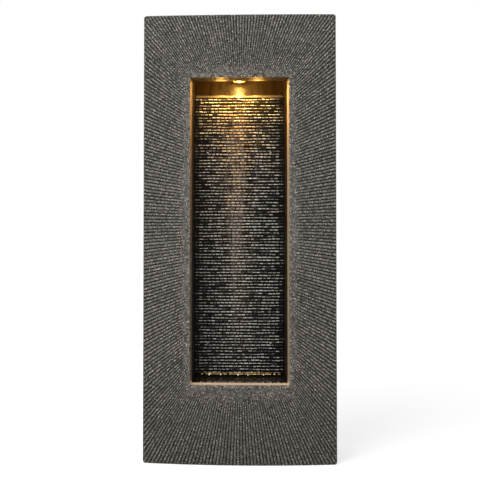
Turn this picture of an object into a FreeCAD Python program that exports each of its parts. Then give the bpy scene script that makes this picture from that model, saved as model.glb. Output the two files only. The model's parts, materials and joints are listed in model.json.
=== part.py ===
import FreeCAD, Part
import math
import os

V = FreeCAD.Vector
X, Y, Z = V(1, 0, 0), V(0, 1, 0), V(0, 0, 1)

# A garden wall fountain: a hollow moulded surround with radiating ribs round a tall niche,
# where water spills from a trough and runs down stacked slate ledges into a hidden basin.
# Millimetres. X is right, Y points into the wall, Z is up. Heights are counted from the
# base, and the finished pieces are moved so that the origin is midway between the two
# wall screws. Depths are counted from the wall plane towards the front.

# Surround
frame_width = 356.0
frame_height = 828.0
base_side_depth = 121.0
top_side_depth = 99.0
base_crown = 12.0
top_crown = 4.0
shell_wall = 5.0
shell_edge = 3.0

# Opening in the surround, with the lip that is turned in round it
side_border = 87.0
bottom_border = 145.0
top_border = 117.0
lip_depth = 16.0
lip_side_inset = 4.0
lip_sill_inset = 3.0
lip_head_inset = 4.5
lip_wall = 3.0

# Grooves between the ribs
side_grooves = 128
end_grooves = 54
groove_width = 2.4
groove_depth = 1.4
groove_stop = 14.0
groove_rise = 0.3
groove_overrun = 4.0
groove_clear = 3.0

# Niche box behind the opening
niche_side_step = 0.5
niche_depth_back = 30.0
upper_depth_back = 11.0
niche_head_rise = 13.0
shelf_drop = 71.0
liner_wall = 3.0
liner_flange = 13.0
liner_screw_inset = 6.5
liner_side_screws = 4
boss_radius = 4.5
boss_overlap = 3.0

# Slate ledges
slate_board = 4.0
slate_relief = 8.0
slate_side_gap = 0.5
slate_rise = 6.0
slate_rows = 95
slate_stones = 6
slate_joint = 1.2
slate_screw_end = 60.0
slate_screw_side = 25.0

# Uneven reach and length of the stones, spread evenly without a repeat
least_reach = 0.45
reach_per_row = 0.618034
reach_per_stone = 0.414214
reach_per_both = 0.19
reach_repeat = 5
shift_per_row = 0.754878
shift_per_stone = 0.569840
shift_share = 0.7

# Trough with the weir edge
weir_drop = 24.0
weir_thickness = 2.0
weir_reach = 11.0
weir_round = 0.8
trough_wall = 2.5
trough_end_gap = 2.5
trough_rear_rise = 8.0

# Water spout in the trough
spout_radius = 4.2
spout_bore = 3.0
spout_flange_radius = 5.8
spout_flange = 2.5
spout_below_weir = 7.0
spout_nut_radius = 6.5
spout_nut_height = 6.0
fit_gap = 0.1
barb_rings = 3
barb_pitch = 3.5
barb_ring = 3.0

# Drain grate
grate_thickness = 5.0
grate_gap = 0.5
grate_rear_margin = 30.0
grate_front_margin = 8.0
slot_pitch = 14.0
slot_width = 8.0
grate_ledge = 4.0

# Basin
basin_side_gap = 8.0
basin_gland_gap = 16.0
basin_height = 116.0
basin_wall = 3.0
basin_corner = 12.0
basin_rim = 4.0
basin_back_gap = 8.0
basin_front_gap = 6.0
plug_radius = 6.0
plug_flange = 9.0
plug_height = 16.0
plug_reach = 4.0
plug_head = 2.5
plug_grip = 3.5
plug_web = 1.2

# Pump
pump_left = 5.0
pump_rear_gap = 14.0
pump_width = 48.0
pump_height = 44.0
pump_corner = 8.0
pump_rear_round = 2.0
cover_length = 18.0
cover_screw_inset = 7.5
cover_screw_bite = 6.0
cover_wall = 3.0
gasket_thickness = 1.5
gasket_width = 2.5
pot_length = 50.0
foot_height = 5.0
foot_radius = 7.0
foot_top_radius = 3.2
foot_skin = 1.2
cup_depth = 3.0
foot_spread = 14.0
shaft_radius = 1.5
shaft_fit = 0.05
bush_radius = 4.0
bush_length = 4.0
magnet_radius = 9.0
magnet_length = 26.0
running_gap = 1.0
impeller_radius = 14.0
impeller_disc = 2.0
impeller_blade = 6.0
impeller_blades = 6
impeller_blade_thickness = 1.6
inlet_radius = 9.0
inlet_arm = 2.5
inlet_hub = 5.5
neck_radius = 5.0
end_play = 0.3
outlet_offset = 11.0
outlet_radius = 6.5
outlet_rise = 8.0
outlet_bore = 3.5
nozzle_bore = 2.5
nozzle_plug = 5.0
nozzle_rim = 1.0
nozzle_flange = 3.0
relief_rise = 3.0
relief_wall = 2.5

# Flow regulator and intake screen
screen_length = 20.0
screen_wall = 2.0
screen_slot = 3.0
screen_slots = 6
screen_margin = 4.0
regulator_gap = 0.3
regulator_disc = 2.0
regulator_disc_radius = 12.0
regulator_stem_radius = 4.0
regulator_knob_radius = 8.0
regulator_knob = 6.0
regulator_window = 120.0
regulator_grip = 5.0
regulator_grip_width = 3.0

# Riser hose and its clamps and clips
hose_radius = 6.0
hose_bore = 4.5
hose_depth = 19.5
barb_length = 14.0
clamp_width = 8.0
clamp_thickness = 1.2
clamp_ear = 5.0
clamp_ear_width = 4.0
clamp_end_gap = 3.0
clip_width = 10.0
clip_thickness = 1.6
clip_foot = 9.0
hose_clip_rises = (75.0, 186.0, 320.0)

# Lamp
lamp_depth = 46.0
lamp_hole_radius = 13.0
lamp_radius = 17.0
lamp_height = 18.0
lamp_wall = 2.0
lamp_round = 1.9
bezel_thickness = 6.0
bezel_inner_radius = 11.0
lens_dome = 9.0
bezel_edge = 1.5
board_rise = 6.0
chip_height = 1.0
chips = 6
lens_thickness = 2.0
lamp_gasket = 1.5
lamp_board = 1.6
chip_size = 3.0
chip_ring = 6.0
bracket_width = 16.0
bracket_thickness = 1.5
bracket_span = 62.0
bracket_gap = 2.0
bracket_foot = 6.0
bracket_lead_gap = 1.5
relief_length = 2.0

# Leads and their outlet
lead_radius = 2.5
lamp_lead_radius = 2.0
gland_side_gap = 15.0
gland_depth = 30.0
gland_radius = 9.0
gland_flange_radius = 13.0
gland_flange = 2.5
gland_top = 24.0
gland_chamfer = 1.0
gland_bore = 3.3
gland_bore_depth = 12.0
gland_nut_radius = 13.0
gland_nut_height = 5.0
gland_lead_offset = 4.5
lead_clip_rises = (374.0, 258.0, 142.5)

# Rear cover
cover_plate = 2.0
cover_plate_depth = 4.0
cover_corner = 6.0
cover_gap = 1.0
cover_bottom_gap = 11.0
cover_top_gap = 11.0
cover_ledge = 8.0
cover_ledge_depth = 10.0
cover_side_screws = 4

# Hanger bar with two keyholes
hanger_drop = 53.0
hanger_spacing = 200.0
hanger_thickness = 2.0
hanger_width = 32.0
hanger_end_gap = 0.5
keyhole_radius = 5.5
keyhole_slot = 5.0
keyhole_rise = 9.0
hanger_boss_depth = 14.0
hanger_boss_length = 20.0
hanger_screw_head = 1.0

# Screws
screw_radius = 1.6
screw_head_radius = 3.2
screw_head = 2.0
screw_length = 9.0
screw_cross = 0.4
pilot_gap = 0.05
through_gap = 0.3

# How far a cutting shape reaches past what it cuts
cutter_front = 60.0
cutter_past = 20.0

# Derived sizes
half_width = frame_width / 2
far_front = -base_side_depth - base_crown
opening_width = frame_width - 2 * side_border
opening_height = frame_height - bottom_border - top_border
opening_bottom = bottom_border
opening_top = opening_bottom + opening_height
niche_half = opening_width / 2 - lip_side_inset - niche_side_step
niche_top = opening_top + niche_head_rise
shelf_height = opening_top - shelf_drop
weir_height = opening_top - weir_drop
grate_height = opening_bottom
slate_bottom = grate_height + slate_rise
liner_half = niche_half + liner_wall
liner_back = niche_depth_back - liner_wall
upper_back = upper_depth_back - liner_wall
liner_bottom = grate_height - grate_thickness
slate_top = weir_height - weir_thickness
slate_half = niche_half - slate_side_gap
row_pitch = (slate_top - slate_bottom) / slate_rows
trough_bottom = shelf_height + liner_wall
trough_half = niche_half - trough_end_gap
floor_top = shell_wall + basin_wall
basin_top = shell_wall + basin_height
gland_x = half_width - shell_wall - gland_side_gap - gland_flange_radius
basin_left = -half_width + shell_wall + basin_side_gap
basin_right = gland_x - gland_radius - basin_gland_gap
hanger_height = frame_height - hanger_drop
cover_bottom = basin_top + cover_bottom_gap
cover_top = hanger_height - hanger_width / 2 - cover_top_gap
lead_clip_heights = [opening_bottom + rise for rise in lead_clip_rises]
hose_clip_heights = [opening_bottom + rise for rise in hose_clip_rises]
pump_depth = pump_rear_gap + pump_width / 2
pump_centre = floor_top + foot_height + pump_height / 2
cover_right = pump_left + cover_length
pot_left = cover_right + gasket_thickness
pump_top = pump_centre + pump_height / 2
chamber_radius = impeller_radius + running_gap
magnet_left = pot_left + running_gap
shaft_right = magnet_left + magnet_length + running_gap + bush_length
outlet_x = pump_left + cover_length / 2
hose_start_y = -pump_depth + outlet_offset
nozzle_top = pump_top + outlet_rise + nozzle_flange + barb_length
lamp_relief = lamp_radius + relief_length
lamp_lead_height = niche_top + liner_wall + 9.0


# Points of the hose and the leads, from end to end
hose_points = [
    V(outlet_x, hose_start_y, nozzle_top - barb_length),
    V(outlet_x, hose_start_y, nozzle_top + 10.0),
    V(outlet_x - 3.5, -hose_depth - 0.7, liner_bottom - 18.0),
    V(4.5, -hose_depth - 0.1, opening_bottom + 25.0),
    V(1.0, -hose_depth, opening_bottom + 117.0),
    V(-1.5, -hose_depth, opening_bottom + 255.0),
    V(0, -hose_depth, shelf_height - 110.0),
    V(0, -hose_depth, shelf_height - spout_nut_height),
]
pump_lead_points = [
    V(pot_left + 35.5, -pump_depth, pump_top + relief_rise),
    V(pot_left + 35.5, -pump_depth, pump_top + 27.0),
    V(pot_left + 48.5, -pump_depth + 0.5, liner_bottom - 28.0),
    V(basin_right - 22.0, -pump_depth + 1.0, liner_bottom - 10.0),
    V(basin_right + 4.0, -pump_depth + 1.5, basin_top + 10.0),
    V(gland_x - 3.0, -pump_depth + 2.0, basin_top - 8.0),
    V(gland_x + 2.0, -gland_depth - 5.0, gland_top + 58.0),
    V(gland_x, -gland_depth - gland_lead_offset, gland_top + 26.0),
    V(gland_x, -gland_depth - gland_lead_offset, gland_top),
]
lamp_lead_points = [
    V(lamp_relief, -lamp_depth, lamp_lead_height),
    V(lamp_relief + 25.0, -lamp_depth, lamp_lead_height),
    V(liner_half - 16.5, -lamp_depth + 1.0, lamp_lead_height + 5.0),
    V(liner_half + 7.5, -lamp_depth + 4.0, lamp_lead_height - 4.0),
    V(liner_half + 17.5, -lamp_depth + 8.0, lamp_lead_height - 32.0),
    V(liner_half + 15.5, -lamp_depth + 12.0, lamp_lead_height - 76.0),
    V(liner_half + 10.0, -63.0, lamp_lead_height - 130.0),
    V(liner_half + 6.5, -59.0, lamp_lead_height - 188.0),
    V(liner_half + 5.1, -56.0, opening_bottom + 345.0),
    V(liner_half + 4.7, -53.5, opening_bottom + 287.0),
    V(liner_half + 4.9, -51.0, opening_bottom + 229.0),
    V(liner_half + 5.5, -48.0, opening_bottom + 171.0),
    V(liner_half + 6.5, -44.0, opening_bottom + 114.0),
    V(liner_half + 9.0, -37.0, opening_bottom + 61.0),
    V(liner_half + 14.5, -29.0, opening_bottom + 23.0),
    V(basin_right - 4.0, -23.0, basin_top + 21.0),
    V(gland_x - 8.0, -21.0, basin_top - 3.0),
    V(gland_x + 2.0, -22.0, gland_top + 62.0),
    V(gland_x, -gland_depth + gland_lead_offset, gland_top + 26.0),
    V(gland_x, -gland_depth + gland_lead_offset, gland_top),
]


def side_depth(height):
    share = height / frame_height
    return base_side_depth + (top_side_depth - base_side_depth) * share


def crown(height):
    return base_crown + (top_crown - base_crown) * height / frame_height


def centre_depth(height):
    return side_depth(height) + crown(height)


def face_depth(x, height):
    return side_depth(height) + crown(height) * (1 - (x / half_width) ** 2)


def box(x0, x1, y0, y1, z0, z1):
    return Part.makeBox(x1 - x0, y1 - y0, z1 - z0, V(x0, y0, z0))


def rod(radius, length, foot, axis=Z):
    return Part.makeCylinder(radius, length, foot, axis)


def pipe(outer, inner, length, foot, axis=Z):
    return rod(outer, length, foot, axis).cut(rod(inner, length, foot, axis))


def edges_at(shape, **middle):
    # The edges whose middles have the given coordinates.
    found = []
    for edge in shape.Edges:
        point = edge.CenterOfMass
        if all(abs(getattr(point, axis) - value) < 0.01 for axis, value in middle.items()):
            found.append(edge)
    return found


def union(shapes):
    if len(shapes) == 1:
        return shapes[0]
    return shapes[0].multiFuse(shapes[1:]).removeSplitter()


def polygon_prism(points, sweep):
    return Part.Face(Part.makePolygon(points + [points[0]])).extrude(sweep)


def hexagon(radius, length, foot, axis=Z):
    side = Y if abs(axis.x) > 0.5 else X
    across = axis.cross(side)
    corners = []
    for k in range(6):
        turn = math.radians(60 * k)
        corners.append(foot + side * (radius * math.cos(turn)) + across * (radius * math.sin(turn)))
    return polygon_prism(corners, axis * length)


def screw(seat, axis, length=screw_length, head_height=screw_head):
    # The head lies in front of the seat and the shank runs along the axis behind it.
    face = seat - axis * head_height
    crossing = screw_head_radius * 0.6
    depth = head_height * 0.4
    cross = box(-crossing, crossing, -screw_cross, screw_cross, 0, depth)
    cross = cross.fuse(box(-screw_cross, screw_cross, -crossing, crossing, 0, depth))
    cross.Placement = FreeCAD.Placement(face, FreeCAD.Rotation(Z, axis))
    head = rod(screw_head_radius, head_height, face, axis)
    return head.fuse(rod(screw_radius, length, seat, axis)).cut(cross)


def screw_hole(seat, axis, gap, length=screw_length):
    return rod(screw_radius + gap, length, seat, axis)


def routed_tube(points, outer, inner=0.0, name=""):
    # Straight runs joined by arcs that touch both runs.
    edges = []
    radii = []
    length = 0.0
    start = points[0]
    for before, corner, after in zip(points, points[1:], points[2:]):
        back = before - corner
        ahead = after - corner
        turn = math.pi - back.getAngle(ahead)
        reach = 0.45 * min(back.Length, ahead.Length)
        radius = reach / math.tan(turn / 2)
        back.normalize()
        ahead.normalize()
        first = corner + back * reach
        last = corner + ahead * reach
        middle_way = back + ahead
        middle_way.normalize()
        bow = radius / math.cos(turn / 2) - radius
        edges.append(Part.LineSegment(start, first).toShape())
        edges.append(Part.Arc(first, corner + middle_way * bow, last).toShape())
        radii.append(round(radius, 1))
        start = last
    edges.append(Part.LineSegment(start, points[-1]).toShape())
    path = Part.Wire(edges)
    for edge in edges:
        length += edge.Length
    way = points[1] - points[0]
    solid = path.makePipeShell([Part.Wire(Part.makeCircle(outer, points[0], way))], True, True)
    area = math.pi * outer ** 2
    if inner:
        hollow = path.makePipeShell([Part.Wire(Part.makeCircle(inner, points[0], way))], True, True)
        solid = solid.cut(hollow)
        area -= math.pi * inner ** 2
    ratio = solid.Volume / (area * length)
    print(name, "radii", radii, "length", round(length, 1), "volume ratio", round(ratio, 4))
    return solid


def at_height(points, height):
    # The place and heading of a route where it crosses a height.
    for low, high in zip(points, points[1:]):
        if min(low.z, high.z) <= height <= max(low.z, high.z):
            share = (height - low.z) / (high.z - low.z)
            way = high - low
            way.normalize()
            if way.z < 0:
                way = way * -1
            return low + (high - low) * share, way
    raise ValueError("the route doesn't cross this height")


# Slanted front planes

def plan_outline(height, half, inset):
    front = side_depth(height) - inset
    left = V(-half, -(face_depth(half, height) - inset), height)
    right = V(half, left.y, height)
    middle = V(0, -(front + crown(height)), height)
    edges = [
        Part.makeLine(V(-half, 0, height), left),
        Part.Arc(left, middle, right).toShape(),
        Part.makeLine(right, V(half, 0, height)),
        Part.makeLine(V(half, 0, height), V(-half, 0, height)),
    ]
    return Part.Wire(edges)


def crowned_form(half, inset, bottom, top):
    return Part.makeLoft([plan_outline(bottom, half, inset), plan_outline(top, half, inset)], True, True)


def leaning_block(offset_front, offset_back, half, bottom, top):
    # A block between two planes that lean as the face does.
    points = [
        V(-half, -centre_depth(bottom) + offset_front, bottom),
        V(-half, -centre_depth(top) + offset_front, top),
        V(-half, -centre_depth(top) + offset_back, top),
        V(-half, -centre_depth(bottom) + offset_back, bottom),
    ]
    return polygon_prism(points, X * (2 * half))


def front_cutter(offset):
    # Everything in front of a plane that leans as the face does.
    return leaning_block(-cutter_front, offset, frame_width, -cutter_past, frame_height + cutter_past)


def lip_outline(offset, grow):
    share = offset / lip_depth
    half = opening_width / 2 - lip_side_inset * share + grow
    bottom = opening_bottom + lip_sill_inset * share - grow
    top = opening_top - lip_head_inset * share + grow
    corners = []
    for side, height in ((-1, bottom), (1, bottom), (1, top), (-1, top)):
        corners.append(V(side * half, -centre_depth(height) + offset, height))
    return Part.makePolygon(corners + [corners[0]])


def lip_form(first, last, grow):
    return Part.makeLoft([lip_outline(first, grow), lip_outline(last, grow)], True, True)


# Places that several pieces share

def liner_screw_seats():
    # Screws through the flange of the niche box into the bosses of the surround.
    seats = []
    x = liner_half + liner_screw_inset
    low = opening_bottom + lip_sill_inset
    high = opening_top - lip_head_inset
    for k in range(liner_side_screws):
        height = low + (high - low) * (k + 0.5) / liner_side_screws
        for side in (-1, 1):
            seats.append(V(side * x, -centre_depth(height) + lip_depth + liner_wall, height))
    return seats


def cover_screw_seats():
    seats = []
    x = half_width - shell_wall - cover_ledge / 2 - cover_gap / 2
    for k in range(cover_side_screws):
        height = cover_bottom + (cover_top - cover_bottom) * (k + 0.5) / cover_side_screws
        for side in (-1, 1):
            seats.append(V(side * x, -cover_plate_depth + cover_plate, height))
    return seats


def hanger_screw_seats():
    x = half_width - shell_wall - hanger_boss_length / 2
    return [V(side * x, -hanger_screw_head, hanger_height) for side in (-1, 1)]


def slate_screw_seats():
    seats = []
    for height in (slate_bottom + slate_screw_end, shelf_height - slate_screw_end):
        for side in (-1, 1):
            seats.append(V(side * (slate_half - slate_screw_side), -liner_back, height))
    return seats


def face_way():
    # The direction square to the leaning planes, pointing to the front.
    rise = V(0, -(centre_depth(frame_height) - centre_depth(0)), frame_height)
    way = X.cross(rise)
    way.normalize()
    return way if way.y < 0 else way * -1


# Surround

def groove(outer_x, outer_z, inner_x, inner_z):
    # A wedge that is deepest at the outer edge and runs out before the opening.
    outer = V(outer_x, -face_depth(outer_x, outer_z), outer_z)
    inner = V(inner_x, -face_depth(inner_x, inner_z) - groove_rise, inner_z)
    way = inner - outer
    way.normalize()
    side = way.cross(Y)
    side.normalize()
    outer = outer - way * groove_overrun
    spread = groove_width / 2 * (1 + groove_clear / groove_depth)
    left = outer + side * spread - Y * groove_clear
    right = outer - side * spread - Y * groove_clear
    root = outer + Y * groove_depth
    faces = []
    for corners in ((left, right, root), (left, right, inner), (right, root, inner), (root, left, inner)):
        faces.append(Part.Face(Part.makePolygon(list(corners) + [corners[0]])))
    return Part.Solid(Part.Shell(faces))


def rib_grooves():
    grooves = []
    centre = opening_bottom + opening_height / 2
    for k in range(side_grooves):
        share = 2 * (k + 0.5) / side_grooves - 1
        outer_z = frame_height / 2 * (1 + share)
        inner_z = centre + share * opening_height / 2
        for side in (-1, 1):
            inner_x = side * (opening_width / 2 + groove_stop)
            grooves.append(groove(side * half_width, outer_z, inner_x, inner_z))
    for k in range(end_grooves):
        share = 2 * (k + 0.5) / end_grooves - 1
        outer_x = share * half_width
        inner_x = share * opening_width / 2
        grooves.append(groove(outer_x, 0.0, inner_x, opening_bottom - groove_stop))
        grooves.append(groove(outer_x, frame_height, inner_x, opening_top + groove_stop))
    return Part.makeCompound(grooves)


def frame_shell():
    body = crowned_form(half_width, 0.0, 0.0, frame_height)
    outer_edges = [edge for edge in body.Edges if edge.CenterOfMass.y < -1.0]
    body = body.makeChamfer(shell_edge, outer_edges)
    inner_half = half_width - shell_wall
    room = crowned_form(inner_half, shell_wall, shell_wall, frame_height - shell_wall)
    pieces = [body.cut(room)]
    pieces.append(lip_form(shell_wall / 2, lip_depth, lip_wall))
    for seat in liner_screw_seats():
        length = lip_depth - shell_wall + boss_overlap
        way = face_way()
        foot = seat + way * liner_wall
        pieces.append(rod(boss_radius, length, foot, way))
    for side in (-1, 1):
        wall = side * inner_half
        inner = side * (inner_half - cover_ledge)
        pieces.append(box(min(wall, inner), max(wall, inner), -cover_ledge_depth - cover_plate_depth,
                          -cover_plate_depth, cover_bottom, cover_top))
        inner = side * (inner_half - hanger_boss_length)
        pieces.append(box(min(wall, inner), max(wall, inner), -hanger_boss_depth, -hanger_thickness,
                          hanger_height - hanger_width / 2, hanger_height + hanger_width / 2))
    shell = union(pieces)
    shell = shell.common(crowned_form(half_width, 0.0, 0.0, frame_height))
    shell = shell.cut(lip_form(-lip_depth, 2 * lip_depth, 0.0))
    holes = [screw_hole(seat, face_way(), pilot_gap) for seat in liner_screw_seats()]
    holes += [screw_hole(seat, Y * -1, pilot_gap) for seat in cover_screw_seats()]
    holes += [screw_hole(seat, Y * -1, pilot_gap) for seat in hanger_screw_seats()]
    gland = V(gland_x, -gland_depth, 0)
    holes.append(rod(gland_radius + fit_gap, shell_wall, gland))
    holes.append(rod(gland_flange_radius + fit_gap, gland_flange, gland))
    return shell.cut(Part.makeCompound(holes)).cut(rib_grooves())


# Niche box

def niche_block(half, back, bottom, top):
    return box(-half, half, far_front, -back, bottom, top)


def niche_liner():
    floor = liner_bottom - liner_wall
    ceiling = niche_top + liner_wall
    lower = niche_block(liner_half, liner_back, floor, shelf_height)
    upper = niche_block(liner_half, upper_back, shelf_height, ceiling)
    flange = leaning_block(lip_depth, lip_depth + liner_wall, liner_half + liner_flange, floor, ceiling)
    body = union([lower, upper, flange])
    lower_room = niche_block(niche_half, niche_depth_back, liner_bottom, trough_bottom)
    upper_room = niche_block(niche_half, upper_depth_back, trough_bottom, niche_top)
    drain = niche_block(niche_half - grate_ledge, niche_depth_back + grate_ledge, floor, liner_bottom)
    drain = drain.cut(front_cutter(lip_depth + grate_ledge))
    body = body.cut(union([lower_room, upper_room])).cut(drain).cut(front_cutter(lip_depth))
    holes = [screw_hole(seat, face_way(), through_gap) for seat in liner_screw_seats()]
    holes += [screw_hole(seat, Y * -1, through_gap) for seat in slate_screw_seats()]
    holes.append(rod(spout_radius + fit_gap, 2 * liner_wall, V(0, -hose_depth, shelf_height - liner_wall)))
    holes.append(rod(lamp_hole_radius, 3 * liner_wall, V(0, -lamp_depth, niche_top - liner_wall)))
    holes += [screw_hole(seat, Z * -1, pilot_gap) for seat in bracket_screw_seats()]
    return body.cut(Part.makeCompound(holes))


def drain_grate():
    half = niche_half - grate_gap
    rear = -niche_depth_back - slate_side_gap
    plate = box(-half, half, far_front, rear, liner_bottom, grate_height)
    plate = plate.cut(front_cutter(lip_depth + grate_gap))
    front = -centre_depth(grate_height) + lip_depth + grate_front_margin
    slots = []
    count = int((2 * half - slot_width) / slot_pitch)
    for k in range(count):
        x = (k - (count - 1) / 2) * slot_pitch
        slots.append(box(x - slot_width / 2, x + slot_width / 2, front, rear - grate_rear_margin,
                         liner_bottom, grate_height))
    return plate.cut(Part.makeCompound(slots))


# Slate ledges

def stone_reach(row, stone):
    # An even spread of reaches that never repeats from row to row.
    spread = row * reach_per_row + stone * reach_per_stone + (row * stone % reach_repeat) * reach_per_both
    return slate_board + slate_relief * (least_reach + (1 - least_reach) * (spread % 1.0))


def stone_end(row, stone):
    width = 2 * slate_half / slate_stones
    spread = (row * shift_per_row + stone * shift_per_stone) % 1.0
    shift = (spread - 0.5) * shift_share * width
    return -slate_half + width * stone + shift


def slate_row(row):
    height = slate_bottom + row * row_pitch
    ends = [-slate_half] + [stone_end(row, stone) for stone in range(1, slate_stones)] + [slate_half]
    points = [V(-slate_half, -niche_depth_back, height)]
    for stone in range(slate_stones):
        reach = -niche_depth_back - stone_reach(row, stone)
        points.append(V(ends[stone], reach, height))
        points.append(V(ends[stone + 1], reach, height))
    points.append(V(slate_half, -niche_depth_back, height))
    return polygon_prism(points, Z * (row_pitch - slate_joint))


def slate_panel():
    board = box(-slate_half, slate_half, -niche_depth_back - slate_board, -niche_depth_back,
                slate_bottom, slate_top)
    rows = [slate_row(row) for row in range(slate_rows)]
    panel = board.multiFuse(rows)
    holes = [screw_hole(seat, Y * -1, pilot_gap) for seat in slate_screw_seats()]
    return panel.cut(Part.makeCompound(holes))


# Trough and spout

def spill_trough():
    front = -niche_depth_back
    back = -upper_depth_back
    outer = box(-trough_half, trough_half, front, back, trough_bottom, weir_height + trough_rear_rise)
    inner = trough_half - trough_wall
    room = box(-inner, inner, front + trough_wall, back - trough_wall,
               trough_bottom + trough_wall, weir_height + trough_rear_rise)
    above_weir = box(-trough_half, trough_half, front, back - trough_wall, weir_height,
                     weir_height + trough_rear_rise)
    weir = box(-trough_half, trough_half, front - weir_reach, front + trough_wall, slate_top, weir_height)
    body = union([outer.cut(room).cut(above_weir), weir])
    nose = edges_at(body, y=front - weir_reach, x=0)
    body = body.makeFillet(weir_round, nose)
    return body.cut(rod(spout_radius + fit_gap, 2 * trough_wall, V(0, -hose_depth, trough_bottom)))


def water_spout():
    top = weir_height - spout_below_weir
    barb_foot = shelf_height - spout_nut_height - barb_length
    flange_foot = trough_bottom + trough_wall
    stem = rod(spout_radius, top - barb_foot, V(0, -hose_depth, barb_foot))
    flange = rod(spout_flange_radius, spout_flange, V(0, -hose_depth, flange_foot))
    pieces = [stem, flange]
    for k in range(barb_rings):
        foot = V(0, -hose_depth, barb_foot + k * barb_pitch)
        pieces.append(Part.makeCone(spout_radius, hose_bore - pilot_gap, barb_ring, foot, Z))
    bore = rod(spout_bore, top - barb_foot, V(0, -hose_depth, barb_foot))
    return union(pieces).cut(bore)


def spout_nut():
    foot = V(0, -hose_depth, shelf_height - spout_nut_height)
    nut = hexagon(spout_nut_radius, spout_nut_height, foot)
    return nut.cut(rod(spout_radius + pilot_gap, spout_nut_height, foot))


# Basin

def basin_front():
    return -(side_depth(basin_top) - shell_wall - basin_front_gap)


def reservoir_basin():
    front = basin_front()
    outer = box(basin_left, basin_right, front, -basin_back_gap, shell_wall, basin_top)
    outer = outer.makeFillet(basin_corner, edges_at(outer, z=(shell_wall + basin_top) / 2))
    room = box(basin_left + basin_wall, basin_right - basin_wall, front + basin_wall,
               -basin_back_gap - basin_wall, floor_top, basin_top)
    room = room.makeFillet(basin_corner - basin_wall, edges_at(room, z=(floor_top + basin_top) / 2))
    rim = box(basin_left - basin_rim, basin_right + basin_rim,
              front - basin_rim, -basin_back_gap + basin_rim,
              basin_top - basin_wall, basin_top)
    rim = rim.makeFillet(basin_corner + basin_rim, edges_at(rim, z=basin_top - basin_wall / 2))
    body = union([outer, rim]).cut(room)
    return body.cut(rod(plug_radius + fit_gap, 3 * basin_wall, plug_seat() - X * 2 * basin_wall, X))


def plug_seat():
    return V(basin_right, basin_front() / 2, plug_height)


def basin_plug():
    seat = plug_seat()
    stem = basin_wall + plug_reach
    head = seat.x + plug_head
    grip = box(head, head + plug_grip, seat.y - plug_web, seat.y + plug_web,
               seat.z - plug_radius, seat.z + plug_radius)
    return union([rod(plug_flange, plug_head, seat, X), rod(plug_radius, stem, seat - X * stem, X), grip])


# Pump

def pump_axis(x):
    return V(x, -pump_depth, pump_centre)


def pump_block(left, right, shrink=0.0):
    half = pump_width / 2 - shrink
    rise = pump_height / 2 - shrink
    block = box(left, right, -pump_depth - half, -pump_depth + half, pump_centre - rise, pump_centre + rise)
    return block.makeFillet(pump_corner - shrink, edges_at(block, x=(left + right) / 2))


def pump_body():
    right = pot_left + pot_length
    body = pump_block(pot_left, right)
    body = body.makeFillet(pump_rear_round, edges_at(body, x=right))
    start = pump_lead_points[0]
    relief = rod(lead_radius + relief_wall, 2 * relief_rise, start - Z * 2 * relief_rise)
    body = union([body, relief])
    cuts = [rod(magnet_radius + running_gap, magnet_length + 2 * running_gap, pump_axis(pot_left), X)]
    cuts.append(rod(bush_radius, bush_length, pump_axis(shaft_right - bush_length), X))
    for y, z in gasket_screw_places():
        cuts.append(screw_hole(V(pot_left, y, z), X, pilot_gap, cover_screw_bite))
    return body.cut(Part.makeCompound(cuts))


def gasket_screw_places():
    spread_y = pump_width / 2 - cover_screw_inset
    spread_z = pump_height / 2 - cover_screw_inset
    return [(-pump_depth + a * spread_y, pump_centre + b * spread_z) for a in (-1, 1) for b in (-1, 1)]


def pump_gasket():
    inner = chamber_radius
    return pipe(inner + gasket_width, inner, gasket_thickness, pump_axis(cover_right), X)


def impeller_cover():
    body = pump_block(pump_left, cover_right)
    outlet_foot = V(outlet_x, -pump_depth + outlet_offset, pump_centre)
    outlet = rod(outlet_radius, pump_height / 2 + outlet_rise, outlet_foot)
    body = union([body, outlet])
    chamber = rod(chamber_radius, cover_length - cover_wall, pump_axis(pump_left + cover_wall), X)
    inlet = rod(inlet_radius, cover_wall, pump_axis(pump_left), X)
    body = body.cut(union([chamber, inlet]))
    hub = rod(inlet_hub, cover_wall, pump_axis(pump_left), X)
    arms = []
    for k in range(3):
        arm = box(0, cover_wall, -inlet_arm / 2, inlet_arm / 2, 0, (inlet_radius + chamber_radius) / 2)
        arm.rotate(V(0, 0, 0), X, 120 * k)
        arm.translate(pump_axis(pump_left))
        arms.append(arm)
    body = union([body, hub] + arms)
    cuts = [rod(shaft_radius + pilot_gap, cover_wall, pump_axis(pump_left), X)]
    cuts.append(rod(outlet_bore, pump_height / 2 + outlet_rise, outlet_foot))
    for y, z in gasket_screw_places():
        cuts.append(screw_hole(V(pump_left, y, z), X, through_gap, cover_length))
    return body.cut(Part.makeCompound(cuts))


def shaft_bushes():
    front = pipe(bush_radius, shaft_radius, bush_length, pump_axis(pump_left + cover_wall), X)
    rear = pipe(bush_radius, shaft_radius, bush_length, pump_axis(shaft_right - bush_length), X)
    return Part.makeCompound([front, rear])


def pump_shaft():
    return rod(shaft_radius, shaft_right - pump_left, pump_axis(pump_left), X)


def pump_rotor():
    hub_left = pump_left + cover_wall + bush_length + end_play
    disc_left = cover_right - impeller_disc - running_gap
    magnet = rod(magnet_radius, magnet_length, pump_axis(magnet_left), X)
    neck = rod(neck_radius, magnet_left - hub_left, pump_axis(hub_left), X)
    disc = rod(impeller_radius, impeller_disc, pump_axis(disc_left), X)
    pieces = [magnet, neck, disc]
    for k in range(impeller_blades):
        blade = box(disc_left - impeller_blade, disc_left, -impeller_blade_thickness / 2,
                    impeller_blade_thickness / 2, neck_radius - pilot_gap, impeller_radius - end_play)
        blade.translate(V(0, -pump_depth, pump_centre))
        blade.rotate(pump_axis(0), X, 360 / impeller_blades * k)
        pieces.append(blade)
    bore = rod(shaft_radius + shaft_fit, shaft_right - hub_left, pump_axis(hub_left), X)
    return union(pieces).cut(bore)


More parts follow.
